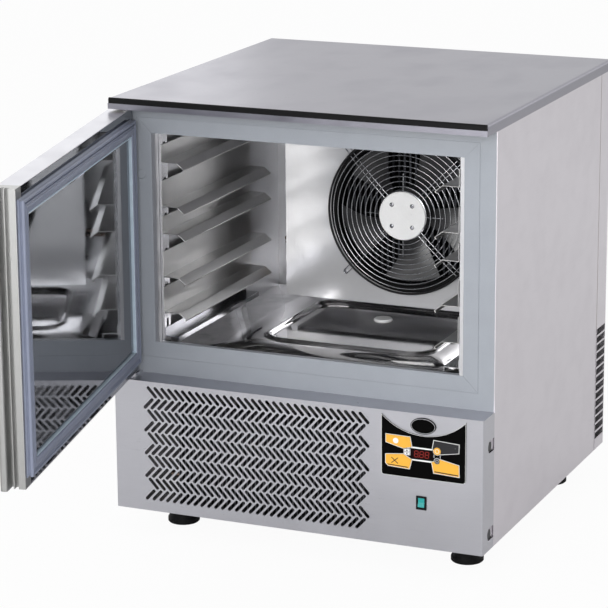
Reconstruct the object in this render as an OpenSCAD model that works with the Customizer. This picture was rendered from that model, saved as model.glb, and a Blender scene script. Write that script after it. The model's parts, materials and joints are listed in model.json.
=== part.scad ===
/* [Cabinet] */
// Width of the cabinet and worktop
cabinet_w = 750; // [640:10:900]
// Depth of the worktop, front edge to back edge
cabinet_d = 740; // [700:10:900]
// Height from the floor to the worktop
cabinet_h = 850; // [840:10:1050]
// Height of the worktop's edge
worktop_h = 21; // [15:1:40]
// How far the door frame lies behind the worktop's front edge
face_setback = 55; // [50:1:80]
// How far the body stops short of the worktop's back edge
rear_setback = 4; // [2:1:20]
// Thickness of the outer steel sheets
sheet = 1.5; // [1:0.1:2.5]
// Height of the levelling feet
foot_h = 48; // [40:1:70]
// Radius of the levelling feet
foot_r = 31; // [20:1:40]
// Distance from the cabinet's right side to a foot's centre
foot_inset = 64; // [40:1:80]
// Distance from the cabinet's left side to a foot's centre
foot_inset_left = 96; // [40:1:120]

/* [Machine compartment] */
// Height of the lower front panel
lower_h = 259; // [250:1:300]
// How far the lower front panel stands out from the door frame
lower_out = 58; // [50:1:70]
// Slots in one row of the herringbone grille
slots_per_row = 31; // [20:1:34]
// Rows in the grille
slot_rows = 10; // [4:2:10]
// Distance between slots along a row
slot_pitch = 14.54; // [13:0.01:16]
// Distance between rows
row_pitch = 22.9; // [21.5:0.1:24]
// Width of a slot
slot_w = 6.5; // [3:0.1:7]
// Length of a slot
slot_l = 28.5; // [18:0.5:30]
// Radius of the condenser fan's blades
condenser_fan_r = 95; // [70:1:98]

/* [Chamber] */
// Width of the door frame's uprights, which is also the wall's thickness
stile_w = 62; // [55:1:80]
// Height of the door frame's bottom rail
bottom_rail_h = 63; // [55:1:80]
// Height of the door frame's top rail
top_rail_h = 52; // [45:1:70]
// Thickness of the door frame
frame_t = 12; // [8:1:20]
// Thickness of the inner steel sheets
liner_t = 1.2; // [1:0.1:2]
// Thickness of the rear wall's insulation
rear_wall = 60; // [40:1:80]
// Depth of the pipe duct behind the rear wall
duct_d = 36; // [30:1:60]
// How far the chamber's floor lies below the door opening
sill_h = 25; // [10:1:30]
// Depth of the pressed basin in the floor
basin_depth = 6; // [3:1:10]
// Radius of the drain hole
drain_r = 15; // [10:0.5:20]

/* [Tray racks] */
// Distance between the hook slots in the uprights
hook_pitch = 69; // [60:1:75]
// Height of the lowest hook slot above the chamber's floor
hook_first = 132; // [110:1:140]
// Width of a slide's ledge
ledge_w = 33; // [25:1:40]
// Drop from a slide's hooks to its ledge, in the deep form
deep_drop = 49; // [40:1:52]
// Drop from a slide's hooks to its ledge, in the shallow form
shallow_drop = 32.5; // [20:0.5:40]
// Length of a slide
slide_l = 402; // [360:1:420]
// Distance between the front and rear uprights
rack_depth = 347; // [300:1:360]

/* [Fan] */
// Radius of the evaporator fan's blades
fan_r = 142; // [120:1:144]
// Number of fan blades
fan_blades_n = 5; // [3:1:7]
// Rings in the fan guard
guard_rings = 11; // [6:1:12]
// Radius of the guard's innermost ring
guard_r0 = 58.5; // [54:0.5:70]
// Distance between the guard's rings
guard_pitch = 10.3; // [9:0.1:10.4]
// Thickness of the guard's wire
wire_t = 2.4; // [1.6:0.1:3]
// Distance of the fan panel from the door frame
panel_back = 390; // [380:1:440]
// Distance of the fan's axis to the right of the middle
fan_x = 50; // [0:1:60]
// Height of the fan's axis above the chamber's floor
fan_lift = 224; // [200:1:230]
// Radius of the fan's shaft
shaft_r = 5; // [4:0.5:8]

/* [Door] */
// Thickness of the door's body
door_t = 40; // [35:1:45]
// Height of the gasket
gasket_t = 12; // [8:0.5:14]
// Width of the gasket
gasket_w = 27; // [20:1:32]
// Distance of the gasket from the door's edges
gasket_inset = 19; // [19:1:30]
// Angle at which the door stands open
door_open = 78.2; // [0:0.1:100]
// Distance of the hinge axis from the cabinet's side
hinge_inset = 20; // [18:0.5:26]
// Radius of the hinge pins
pin_r = 4; // [3:0.5:6]
// Width of the handle profile
handle_w = 30; // [26:1:40]

/* [Controls] */
// Width of the control overlay
overlay_w = 165; // [150:1:180]
// Height of the control overlay at its ends
overlay_h = 117; // [100:1:130]
// Depth of the arc cut out of the overlay's top edge
overlay_sag = 34; // [20:1:36]
// Distance from the cabinet's side to the middle of the controls
controls_inset = 116; // [105:1:140]
// Thickness of the overlay
overlay_t = 2; // [1.5:0.1:3]
// How far a key stands out of the overlay
key_proud = 0.6; // [0.4:0.1:1]
// Width of the rocker switch's bezel
switch_w = 20; // [16:1:24]
// Height of the rocker switch's bezel
switch_h = 26; // [22:1:32]

/* [Hidden] */
$fn = 48;
e = 0.01;
gap = 0.3;
steel = [0.74, 0.74, 0.76];
bright = [0.86, 0.87, 0.9];
black = [0.07, 0.07, 0.08];
copper = [0.72, 0.45, 0.3];
amber = [0.95, 0.65, 0.15];

// Main planes of the cabinet: X to the right, Y to the back, Z up from the floor
side_x = cabinet_w / 2;
front_y = -cabinet_d / 2;
back_y = cabinet_d / 2 - rear_setback;
face_y = front_y + face_setback;
panel_y = face_y - lower_out;
body_top = cabinet_h - worktop_h;
lower_top = foot_h + lower_h;
inner_x = side_x - sheet;
seam_y = back_y - 60;
tray_z = foot_h + sheet;
deck_z = tray_z + sheet;

// Door opening and chamber
open_x = side_x - stile_w;
open_z0 = lower_top + bottom_rail_h;
open_z1 = body_top - top_rail_h;
liner_y0 = face_y + frame_t;
wall_y1 = back_y - sheet - duct_d;
liner_y1 = wall_y1 - rear_wall;
floor_z = open_z0 - sill_h;
ceiling_z = open_z1 + 3;
fan_y = face_y + panel_back;
fan_z = floor_z + fan_lift;
basin_w = 336;
basin_l = 300;
basin_r = 40;
basin_y = liner_y0 + 325;
drain_x = -8;
drain_y = basin_y + 75;

// Door, drawn closed and then turned about the hinge axis
hinge_t = 3.8;
hinge_x = -side_x + hinge_inset;
door_in_y = face_y - gasket_t - 0.5;
door_out_y = door_in_y - door_t;
hinge_y = door_in_y - 9.5;
door_x0 = -side_x + 4;
door_x1 = side_x;
lip = 17;
door_z0 = lower_top + hinge_t + 0.7;
door_z1 = body_top - hinge_t - 0.7;
skin_t = 1.2;
core_x1 = door_x1 - lip - handle_w;
gasket_x0 = door_x0 + gasket_inset;
gasket_x1 = door_x1 - lip - 7;
gasket_z0 = door_z0 + gasket_inset;
gasket_z1 = door_z1 - gasket_inset;

// Controls
ctl_x = side_x - controls_inset;
ctl_z1 = lower_top - 7;
ctl_z0 = ctl_z1 - overlay_h;
overlay_y = panel_y - overlay_t;
switch_x = ctl_x - 4;
switch_z = ctl_z0 - 47;

// Condensing unit in the machine compartment
cond_x = -side_x + 315;
cond_w = 380;
cond_h = 200;
cond_t = 44;
cond_y = panel_y + 28;
cond_z = deck_z + 8 + cond_h / 2;
cond_x0 = cond_x - cond_w / 2;
shroud_d = 20;
ring_d = 30;
blade_y = cond_y + cond_t + shroud_d + 15;
comp_x = side_x - 205;
comp_y = back_y - 176;
comp_r = 82;
receiver_x = -side_x + 130;
receiver_y = back_y - 235;
receiver_r = 45;
pipe_x = -open_x + 60;
pipe_y = wall_y1 + duct_d / 2;
pipe_z = floor_z + 119;

module block(a, b) translate(a) cube(b - a);

module mirrored(s) if (s < 0) mirror([1, 0, 0]) children(); else children();

// A flat shape in X and Z, made into a plate from y0 back to y1
module upright_plate(y0, y1) translate([0, y1, 0]) rotate([90, 0, 0]) linear_extrude(y1 - y0) children();

// A flat shape in X and Y, made into a plate from z0 up to z1
module flat_plate(z0, z1) translate([0, 0, z0]) linear_extrude(z1 - z0) children();

// Round bars along Y and along Z
module bar_y(x, z, r, y0, y1) translate([x, y0, z]) rotate([-90, 0, 0]) cylinder(r = r, h = y1 - y0);
module bar_z(x, y, r, z0, z1) translate([x, y, z0]) cylinder(r = r, h = z1 - z0);

// A profile turned about a line along Y
module turned_y(x, y, z) translate([x, y, z]) rotate([-90, 0, 0]) rotate_extrude($fn = 96) children();

module rounded(w, h, r) {
    for (sx = [-1, 1], sy = [-1, 1]) translate([sx * (w / 2 - r), sy * (h / 2 - r)]) circle(r);
    square([w, h - 2 * r], center = true);
    square([w - 2 * r, h], center = true);
}

// A pipe through the given points, with a round elbow at each
module pipe(points, r) {
    for (i = [0 : len(points) - 2]) {
        d = points[i + 1] - points[i];
        l = norm(d);
        translate(points[i]) rotate([0, acos(d[2] / l), atan2(d[1], d[0])]) cylinder(r = r, h = l, $fn = 20);
    }
    for (i = [1 : len(points) - 2]) translate(points[i]) sphere(r, $fn = 20);
}

module door_place() {
    translate([hinge_x, hinge_y, 0]) rotate([0, 0, -door_open]) translate([-hinge_x, -hinge_y, 0]) children();
}

// Worktop: a folded steel pan with rolled side edges and a black strip in its front, over a stiffening board
trim_h = 10.5;
trim_d = 5;
roll_r = 6;
module worktop() {
    z = cabinet_h - trim_h;
    color(steel) difference() {
        upright_plate(front_y, front_y + cabinet_d) worktop_section(0, 0);
        block([-side_x - 1, front_y - 1, z], [side_x + 1, front_y + trim_d, cabinet_h + 1]);
        upright_plate(front_y + trim_d + sheet, front_y + cabinet_d - sheet) worktop_section(sheet, 1);
        block([-side_x + sheet, front_y + sheet, body_top - 1], [side_x - sheet, front_y + 20, z - sheet]);
    }
}

module worktop_board() {
    c = sheet + 0.2;
    color([0.75, 0.7, 0.6]) upright_plate(front_y + trim_d + c, front_y + cabinet_d - c) worktop_section(c, 0);
}

// Outline of the worktop from the front, smaller by c all round, and reaching lower by d
module worktop_section(c, d) {
    translate([-side_x + c, body_top - d]) square([cabinet_w - 2 * c, worktop_h - roll_r + d]);
    translate([-side_x + roll_r, body_top - d]) square([cabinet_w - 2 * roll_r, worktop_h - c + d]);
    for (s = [-1, 1]) translate([s * (side_x - roll_r), cabinet_h - roll_r]) circle(roll_r - c);
}

module worktop_trim() {
    z0 = cabinet_h - trim_h;
    color(black) translate([side_x - 1.5, 0, 0]) rotate([90, 0, -90]) linear_extrude(cabinet_w - 3)
        polygon([[-front_y, z0], [-front_y, cabinet_h - 2], [-front_y - 2, cabinet_h], [-front_y - trim_d, cabinet_h],
            [-front_y - trim_d, z0]]);
}

// Side panels: a folded foot that the base tray rests on, and tabs that the lower panel is screwed to
notch_z = [foot_h + 31, foot_h + 200];
notch_r = 12;
notch_y = face_y - gap - 21;
tab_x = inner_x - 3.5;
module side_panel(s) {
    color(steel) mirrored(s) difference() {
        union() {
            block([inner_x, face_y, foot_h], [side_x, seam_y - 1.5, body_top]);
            block([side_x - 22, face_y + 2, foot_h], [inner_x + e, seam_y - 1.5, tray_z]);
            for (z = notch_z) flat_plate(z - notch_r - 1, z + notch_r + 1) polygon([[inner_x + e, face_y + 14],
                [inner_x + e, face_y + 3], [tab_x, face_y - 1], [tab_x, notch_y - notch_r - 3],
                [tab_x - sheet, notch_y - notch_r - 3], [tab_x - sheet, face_y], [inner_x - sheet, face_y + 5],
                [inner_x - sheet, face_y + 14]]);
        }
        for (z = notch_z) translate([tab_x - 5, notch_y, z]) rotate([0, 90, 0]) cylinder(r = 3.3, h = 8);
    }
}

// Rear cover: back sheet and two returns, with the vents that let the condenser's air out
vent_n = 14;
vent_pitch = 17;
vent_h = 13;
vent_l = 54;
gland_x = -side_x + 90;
gland_z = foot_h + 34;
gland_r = 10;
module rear_cover() {
    color(steel) difference() {
        union() {
            block([-side_x, back_y - sheet, foot_h], [side_x, back_y, body_top]);
            for (s = [-1, 1]) mirrored(s) block([inner_x, seam_y + 1.5, foot_h], [side_x, back_y, body_top]);
        }
        for (i = [0 : vent_n - 1]) {
            z = foot_h + 23 + i * vent_pitch;
            for (s = [-1, 1]) mirrored(s)
                block([inner_x - 1, back_y - 2 - vent_l, z], [side_x + 1, back_y - 2, z + vent_h]);
            if (i > 3) for (k = [0 : 3])
                block([-130 + k * 95, back_y - 3, z], [-130 + k * 95 + 80, back_y + 1, z + vent_h - 4]);
        }
        bar_y(gland_x, gland_z, gland_r + gap, back_y - 3, back_y + 1);
    }
}

// Cable gland: flange, body and the bore that a supply cord would pass through
module cable_gland() {
    color(black) turned_y(gland_x, back_y, gland_z)
        polygon([[4.5, -20], [gland_r, -20], [gland_r, 0], [gland_r + 4, 0], [gland_r + 4, 3],
            [gland_r - 2, 12], [4.5, 12]]);
}

// Base tray: a folded pan that carries the condensing unit and takes the feet
module base_tray() {
    y0 = panel_y + 18;
    color(steel * 0.9) difference() {
        block([-inner_x, y0, tray_z], [inner_x, back_y - sheet, tray_z + 14]);
        block([-inner_x + sheet, y0 + sheet, deck_z], [inner_x - sheet, back_y - 2 * sheet, tray_z + 15]);
        for (p = foot_centres()) bar_z(p[0], p[1], foot_stem_r + gap, foot_h, deck_z + 1);
    }
}

// Feet: a flared pad with a neck under the tray and a threaded stem through it
foot_stem_r = 5;
function foot_centres() = [for (y = [face_y + 38, back_y - 143], x = [foot_inset_left - side_x, side_x - foot_inset]) [x, y]];
module levelling_feet() {
    color(black) for (p = foot_centres()) translate([p[0], p[1], 0])
        rotate_extrude($fn = 64) polygon([[0, 0], [foot_r - 2, 0], [foot_r, 2], [foot_r, 9],
            [foot_r - 3, 14], [foot_r - 3, foot_h - 18], [foot_r - 6, foot_h - 14], [13, foot_h - 14],
            [13, tray_z], [foot_stem_r, tray_z],
            [foot_stem_r, tray_z + 16], [0, tray_z + 16]]);
}

// Insulation: one foamed block round the chamber, with the drain and the pipe duct through it
module insulation() {
    l = liner_t;
    color([0.9, 0.82, 0.55]) difference() {
        block([-inner_x, liner_y0, lower_top], [inner_x, wall_y1, body_top]);
        block([-open_x - l, liner_y0 - 1, floor_z - l], [open_x + l, liner_y1 + l, ceiling_z + l]);
        flat_plate(floor_z - basin_depth - l, floor_z) translate([0, basin_y])
            rounded(basin_w + 1, basin_l + 1, basin_r + 0.5);
        bar_z(drain_x, drain_y, drain_r + 2 + gap, lower_top - 1, floor_z);
        bar_y(pipe_x, pipe_z, 18, liner_y1, wall_y1 + 1);
    }
}

// Chamber liner: walls and ceiling, and the folded edge that shows inside the door frame
edge_w = 7;
module chamber_liner() {
    l = liner_t;
    y = face_y + 0.4;
    color(bright) difference() {
        union() {
            difference() {
                block([-open_x - l, liner_y0, floor_z - l], [open_x + l, liner_y1 + l, ceiling_z + l]);
                block([-open_x, liner_y0 + l, floor_z - l - 1], [open_x, liner_y1, ceiling_z]);
                block([-open_x + edge_w, liner_y0 - 1, open_z0], [open_x - edge_w, liner_y0 + 5, open_z1]);
            }
            for (s = [-1, 1]) mirrored(s) {
                block([open_x - edge_w, y, open_z0], [open_x - edge_w + l, liner_y0 + e, open_z1]);
                block([open_x - edge_w, y, open_z0], [open_x - gap, y + l, open_z1]);
            }
        }
        bar_y(pipe_x, pipe_z, 16, liner_y1 - 1, liner_y1 + 3);
    }
}

// Chamber floor: a pressed pan with a beaded basin that drains through a welded spigot
bead_w = 12;
bead_h = 5;
module chamber_floor() {
    z = floor_z - liner_t;
    color(bright) difference() {
        union() {
            block([-open_x, liner_y0 + liner_t, z], [open_x, liner_y1, floor_z]);
            flat_plate(z, floor_z + bead_h) translate([0, basin_y])
                rounded(basin_w + 2 * bead_w, basin_l + 2 * bead_w, basin_r + bead_w);
            flat_plate(z - basin_depth, z + e) translate([0, basin_y]) rounded(basin_w, basin_l, basin_r);
            bar_z(drain_x, drain_y, drain_r + 2, lower_top - 20, z - basin_depth + e);
        }
        flat_plate(floor_z - basin_depth, floor_z + bead_h + 1) translate([0, basin_y])
            rounded(basin_w - 2 * liner_t, basin_l - 2 * liner_t, basin_r - liner_t);
        flat_plate(z - 1, floor_z + bead_h - liner_t) translate([0, basin_y]) difference() {
            rounded(basin_w + 2 * (bead_w - liner_t), basin_l + 2 * (bead_w - liner_t), basin_r + bead_w - liner_t);
            rounded(basin_w, basin_l, basin_r);
        }
        bar_z(drain_x, drain_y, drain_r, lower_top - 21, floor_z + 1);
    }
}

module drain_plug() {
    color([0.93, 0.93, 0.9]) translate([drain_x, drain_y, floor_z - basin_depth]) rotate_extrude($fn = 64)
        polygon([[0, -10], [drain_r - gap, -10], [drain_r - gap, gap], [drain_r + 4, gap], [drain_r + 4, 2.5],
            [drain_r + 2, 5], [0, 5.5]]);
}

// Breaker frame: four rails that the gasket closes on, with a mitred band round the opening
band_w = 29;
sensor_x = -side_x + 38.5;
sensor_z = open_z0 + 327;
module breaker_frame() {
    o = [[-inner_x, lower_top], [inner_x, lower_top], [inner_x, body_top], [-inner_x, body_top]];
    n = [[-open_x, open_z0], [open_x, open_z0], [open_x, open_z1], [-open_x, open_z1]];
    color([0.62, 0.64, 0.67]) difference() {
        for (k = [0 : 3]) let (j = (k + 1) % 4)
            upright_plate(face_y, liner_y0) polygon([o[k], o[j], n[j], n[k]]);
        upright_plate(face_y - 1, face_y + 0.5) for (k = [0 : 3]) mitre_seam(n[k], band_w * 1.414, k * 90 - 135);
        upright_plate(face_y - 1, face_y + 0.8) difference() {
            opening(band_w + 1.6);
            opening(band_w);
        }
        bar_y(sensor_x, sensor_z, 10, face_y - 1, face_y + 8);
    }
}

module mitre_seam(corner, l, a) translate(corner) rotate(a) translate([-1, -0.3]) square([l + 1, 0.6]);

// The door opening, larger by c all round
module opening(c) translate([-open_x - c, open_z0 - c]) square([2 * (open_x + c), open_z1 - open_z0 + 2 * c]);

module door_sensor_cap() {
    color([0.68, 0.7, 0.73]) turned_y(sensor_x, face_y, sensor_z)
        polygon([[0, 0.5], [6, 0.1], [8.4, 0.1], [9.6, 1.2], [9.6, 8], [0, 8]]);
}

// Fan panel: a flanged sheet hung from the ceiling, with a round hole
panel_x0 = -open_x + 103;
panel_x1 = open_x - 65;
panel_z0 = floor_z + 34.5;
hole_r = fan_r + 8;
foot_ring_r = guard_r0 + (guard_rings - 1) * guard_pitch + 21;
disc_screw = 21.5;
module evaporator_panel() {
    t = liner_t;
    color(bright) difference() {
        union() {
            block([panel_x0, fan_y, panel_z0], [panel_x1, fan_y + t, ceiling_z]);
            block([panel_x0, fan_y, panel_z0], [panel_x0 + t, fan_y + 22, ceiling_z]);
            block([panel_x0, fan_y, ceiling_z - t], [panel_x1, fan_y + 22, ceiling_z]);
        }
        bar_y(fan_x, fan_z, hole_r, fan_y - 1, fan_y + 5);
        for (a = [45 : 90 : 315]) bar_y(fan_x + foot_ring_r * cos(a), fan_z + foot_ring_r * sin(a), 2.4, fan_y - 1, fan_y + 5);
    }
}

// Evaporator: finned block, end plates and return bends, against the chamber's rear wall
coil_x0 = panel_x0 + 30;
coil_x1 = panel_x1 - 20;
coil_y0 = fan_y + 52;
coil_y1 = liner_y1 - 8;
coil_z0 = floor_z + 60;
coil_z1 = ceiling_z - 25;
module evaporator_coil() {
    color([0.7, 0.72, 0.74]) {
        fin_block(coil_x0, coil_x1, coil_y0, coil_y1, coil_z0, coil_z1, 34);
        for (x = [coil_x0 - 2, coil_x1 - e])
            block([x, coil_y0 - 6, drip_z + liner_t], [x + 2, liner_y1 - 4, coil_z1 + 8]);
    }
    color(copper) for (k = [0 : 4]) {
        return_bend(coil_x0 - 2, coil_y0 + 24, coil_z0 + 36 + k * 60, -1, 16, 5);
        return_bend(coil_x1 + 2, coil_y0 + 24, coil_z0 + 36 + k * 60, 1, 16, 5);
    }
}

module fin_block(x0, x1, y0, y1, z0, z1, n) {
    pitch = (x1 - x0) / n;
    flat_plate(z0, z1) {
        translate([x0, y1 - 3]) square([x1 - x0, 3]);
        for (i = [0 : n]) translate([min(x0 + i * pitch, x1 - pitch * 0.35), y0]) square([pitch * 0.35, y1 - y0]);
    }
}

module return_bend(x, y, z, s, r, wire) {
    translate([x - s * 0.5, y, z]) rotate([90, 0, 0]) rotate([0, 0, s > 0 ? -90 : 90])
        rotate_extrude(angle = 180) translate([r, 0]) circle(wire, $fn = 16);
}

// Drip tray under the coil
drip_z = floor_z + 36;
module drip_tray() {
    t = liner_t;
    x0 = panel_x0 + 6;
    x1 = panel_x1 - 4;
    y0 = coil_y0 - 14;
    color(bright) difference() {
        block([x0, y0, drip_z], [x1, liner_y1, drip_z + 14]);
        block([x0 + t, y0 + t, drip_z + t], [x1 - t, liner_y1 - t, drip_z + 15]);
    }
}

// Fan shroud: a flange on the panel's face, rolled into a ring through its hole
module fan_shroud() {
    r = hole_r - 0.5;
    w = guard_r1 - 1;
    color(black) turned_y(fan_x, fan_y, fan_z)
        polygon([[r - 2.5, 30], [r - 2.5, 1], [r - 1.8, -1.4], [r, -3], [w - 1.5, -3], [w, -1.5], [w, 0], [r, 0], [r, 30]]);
}

// Guard: rings on eight main wires, four short wires, a hub plate, and feet on the panel
guard_disc_r = 49.5;
guard_y0 = fan_y - 20;
guard_r1 = guard_r0 + (guard_rings - 1) * guard_pitch;
hub_t = 1.2;
function dome(r) = guard_y0 + 11 * pow(max(r - guard_disc_r, 0) / (guard_r1 - guard_disc_r), 2.2);
module fan_guard() {
    color([0.3, 0.31, 0.33]) {
        for (k = [0 : guard_rings - 1]) {
            r = guard_r0 + k * guard_pitch;
            t = k == guard_rings - 1 ? wire_t * 1.5 : wire_t;
            turned_y(fan_x, dome(r), fan_z) translate([r - t / 2, -t / 2]) square(t);
        }
        for (a = [45 : 90 : 315], s = [-1, 1]) spoke(a, s * 4.5, guard_r1, foot_ring_r);
        for (a = [0 : 90 : 270]) spoke(a, 0, guard_r0 + 2.2 * guard_pitch, 0);
        for (a = [45 : 90 : 315]) guard_foot(a);
        difference() {
            bar_y(fan_x, fan_z, guard_disc_r + 1, guard_y0, guard_y0 + hub_t);
            disc_holes(2.6);
            bar_y(fan_x, fan_z, 12, guard_y0 - 1, guard_y0 + 9);
        }
    }
}

module disc_holes(r) {
    for (sx = [-1, 1], sz = [-1, 1])
        bar_y(fan_x + sx * disc_screw, fan_z + sz * disc_screw, r, guard_y0 - 6, guard_y0 + 9);
}

// A guard wire: it lies under the rings out to r1, and a main wire then bends back to the panel
module spoke(a, off, r1, r2) {
    n = 4;
    w = 1.1;
    under = wire_t / 2 + 0.5;
    rs = concat([for (i = [0 : n]) guard_disc_r - 1 + (r1 - guard_disc_r + 1) * i / n], r2 > 0 ? [r2] : []);
    ys = [for (r = rs) r > guard_r1 ? fan_y - 2.2 : dome(r) + under];
    translate([fan_x, 0, fan_z]) rotate([0, -a, 0]) flat_plate(off - w, off + w) for (i = [0 : len(rs) - 2])
        polygon([[rs[i], ys[i] - w], [rs[i + 1] + 0.2, ys[i + 1] - w], [rs[i + 1] + 0.2, ys[i + 1] + w], [rs[i], ys[i] + w]]);
}

module guard_foot(a) {
    difference() {
        bar_y(fan_x + foot_ring_r * cos(a), fan_z + foot_ring_r * sin(a), 5.7, fan_y - 4, fan_y);
        bar_y(fan_x + foot_ring_r * cos(a), fan_z + foot_ring_r * sin(a), 2.6, fan_y - 5, fan_y + 1);
    }
}

module guard_disc() {
    color([0.95, 0.95, 0.96]) difference() {
        turned_y(fan_x, guard_y0, fan_z)
            polygon([[0, -4], [guard_disc_r - 2.5, -4], [guard_disc_r - 1, -3], [guard_disc_r - 1, 0], [0, 0]]);
        disc_holes(2.6);
    }
}

module fan_screw(x, z, y, l, head_r) {
    bar_y(x, z, head_r, y - 1.8, y);
    bar_y(x, z, 2.3, y - e, y + l);
}

// Screws that hold the guard's feet to the panel, and the disc to the motor
module guard_screws() {
    color(bright) {
        for (a = [45 : 90 : 315]) fan_screw(fan_x + foot_ring_r * cos(a), fan_z + foot_ring_r * sin(a), fan_y - 4, 8, 3.2);
        for (sx = [-1, 1], sz = [-1, 1]) fan_screw(fan_x + sx * disc_screw, fan_z + sz * disc_screw, guard_y0 - 4, 11, 4.4);
    }
}

motor_y0 = guard_y0 + hub_t;
hub_y0 = motor_y0 + 16;
hub_l = 38;
module fan_motor() {
    color(black) difference() {
        turned_y(fan_x, motor_y0, fan_z)
            polygon([[0, 0], [47, 0], [47, 6], [44, 13], [38, 15], [38, 34], [shaft_r, 34], [shaft_r, 16 + hub_l + 4],
                [0, 16 + hub_l + 4]]);
        disc_holes(2.6);
    }
}

// A fan rotor: a cup on the shaft, and blades whose pitch falls towards the tip
module rotor(hub_r, tip_r, y0, l, n, bore, cup_r, chord, lead) {
    turned_y(0, y0, 0) polygon([[bore, l - 16], [cup_r, l - 16], [cup_r, 0], [hub_r, 0], [hub_r, l - 3],
        [hub_r - 3, l], [bore, l]]);
    for (k = [0 : n - 1]) rotate([0, k * 360 / n + 24, 0]) blade(hub_r - 1, tip_r, y0 + l / 2, chord, lead);
}

module blade(r0, r1, ym, chord, lead) {
    rows = 7;
    cols = 7;
    m = rows * cols;
    // A point of the blade: u along the chord, v out towards the tip, side 0 or 1 through its thickness
    function at(u, v, side) = let (r = r0 + (r1 - r0) * v, a = (u - 0.5) * chord * (0.8 + 0.5 * v) + 9 * v,
        y = ym + (0.5 - u) * lead * (1 - 0.45 * v) + 3 * sin(180 * u) + side * 1.8 - 0.9)
        [r * sin(a), y, r * cos(a)];
    function id(side, j, i) = side * m + j * cols + i;
    function quad(a, b, c, d) = [[a, b, c], [a, c, d]];
    cells = [for (j = [0 : rows - 2], i = [0 : cols - 2]) [j, i]];
    grid = [for (side = [0, 1], j = [0 : rows - 1], i = [0 : cols - 1]) at(i / (cols - 1), j / (rows - 1), side)];
    back = [for (c = cells) each quad(id(1, c[0], c[1]), id(1, c[0], c[1] + 1), id(1, c[0] + 1, c[1] + 1), id(1, c[0] + 1, c[1]))];
    face = [for (c = cells) each quad(id(0, c[0], c[1]), id(0, c[0] + 1, c[1]), id(0, c[0] + 1, c[1] + 1), id(0, c[0], c[1] + 1))];
    root = [for (i = [0 : cols - 2]) each quad(id(0, 0, i), id(0, 0, i + 1), id(1, 0, i + 1), id(1, 0, i))];
    tip = [for (i = [0 : cols - 2]) each quad(id(1, rows - 1, i), id(1, rows - 1, i + 1), id(0, rows - 1, i + 1), id(0, rows - 1, i))];
    lead_edge = [for (j = [0 : rows - 2]) each quad(id(1, j, 0), id(1, j + 1, 0), id(0, j + 1, 0), id(0, j, 0))];
    tail_edge = [for (j = [0 : rows - 2]) each
        quad(id(0, j, cols - 1), id(0, j + 1, cols - 1), id(1, j + 1, cols - 1), id(1, j, cols - 1))];
    polyhedron(grid, concat(back, face, root, tip, lead_edge, tail_edge));
}

module fan_blades() {
    color([0.12, 0.12, 0.13]) translate([fan_x, 0, fan_z])
        rotor(50, fan_r, hub_y0, hub_l, fan_blades_n, shaft_r + 0.05, 44, 36, 30);
}

// Rack uprights: slotted channels that stand on the floor against each side wall
rack_face = open_x - 13;
rack_w = 25;
rack_y = [liner_y0 + liner_t + 1, liner_y0 + liner_t + 1 + rack_depth];
rack_t = 1.5;
function hook_z(k) = floor_z + hook_first + k * hook_pitch;
module rack_uprights() {
    color(steel) for (s = [-1, 1]) mirrored(s) for (y = rack_y) difference() {
        flat_plate(floor_z, ceiling_z - 5) difference() {
            translate([rack_face, y]) square([open_x - rack_face, rack_w]);
            translate([rack_face + rack_t, y + rack_t]) square([open_x, rack_w - 2 * rack_t]);
        }
        for (k = [-1 : 4])
            block([rack_face - 1, y + 8, hook_z(k) - 12], [rack_face + rack_t + 1, y + 17, hook_z(k) + 4]);
    }
}

module rack_rails() {
    z = floor_z + 35;
    color(steel) for (s = [-1, 1]) mirrored(s)
        translate([rack_face, rack_y[1] + rack_w, z]) rotate([90, 0, 0]) linear_extrude(rack_depth + rack_w)
            polygon([[0, 15], [-rack_t, 15], [-rack_t, 0], [-30, 0], [-30, -9], [-30 + rack_t, -9], [-30 + rack_t, -rack_t],
                [0, -rack_t]]);
}

// Tray slides: hung by two hooks each, in a deep form and a shallow one
slide_is_deep = [true, true, false, true, false];
module tray_slides(s) {
    color(steel) mirrored(s) for (k = [0 : 4]) slide(hook_z(k), slide_is_deep[k] ? deep_drop : shallow_drop);
}

module slide(z, d) {
    t = 1.2;
    w = ledge_w;
    x = rack_face - gap;
    y0 = face_y + 10;
    translate([x, y0 + slide_l, z]) rotate([90, 0, 0]) linear_extrude(slide_l)
        polygon([[0, 0], [-t, 0], [-t, -d], [-w, -d], [-w - 15, -d - 12], [-w - 11.6, -d - 16.2], [-w - 10.7, -d - 15.4],
            [-w - 13.3, -d - 12.2], [-w + 0.5, -d - t], [0, -d - t]]);
    for (y = rack_y) {
        block([x - e, y + 10, z - 12], [x + 4, y + 15, z - 4]);
        block([x + 2.1, y + 10, z - 17], [x + 4, y + 15, z - 4]);
    }
}

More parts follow.
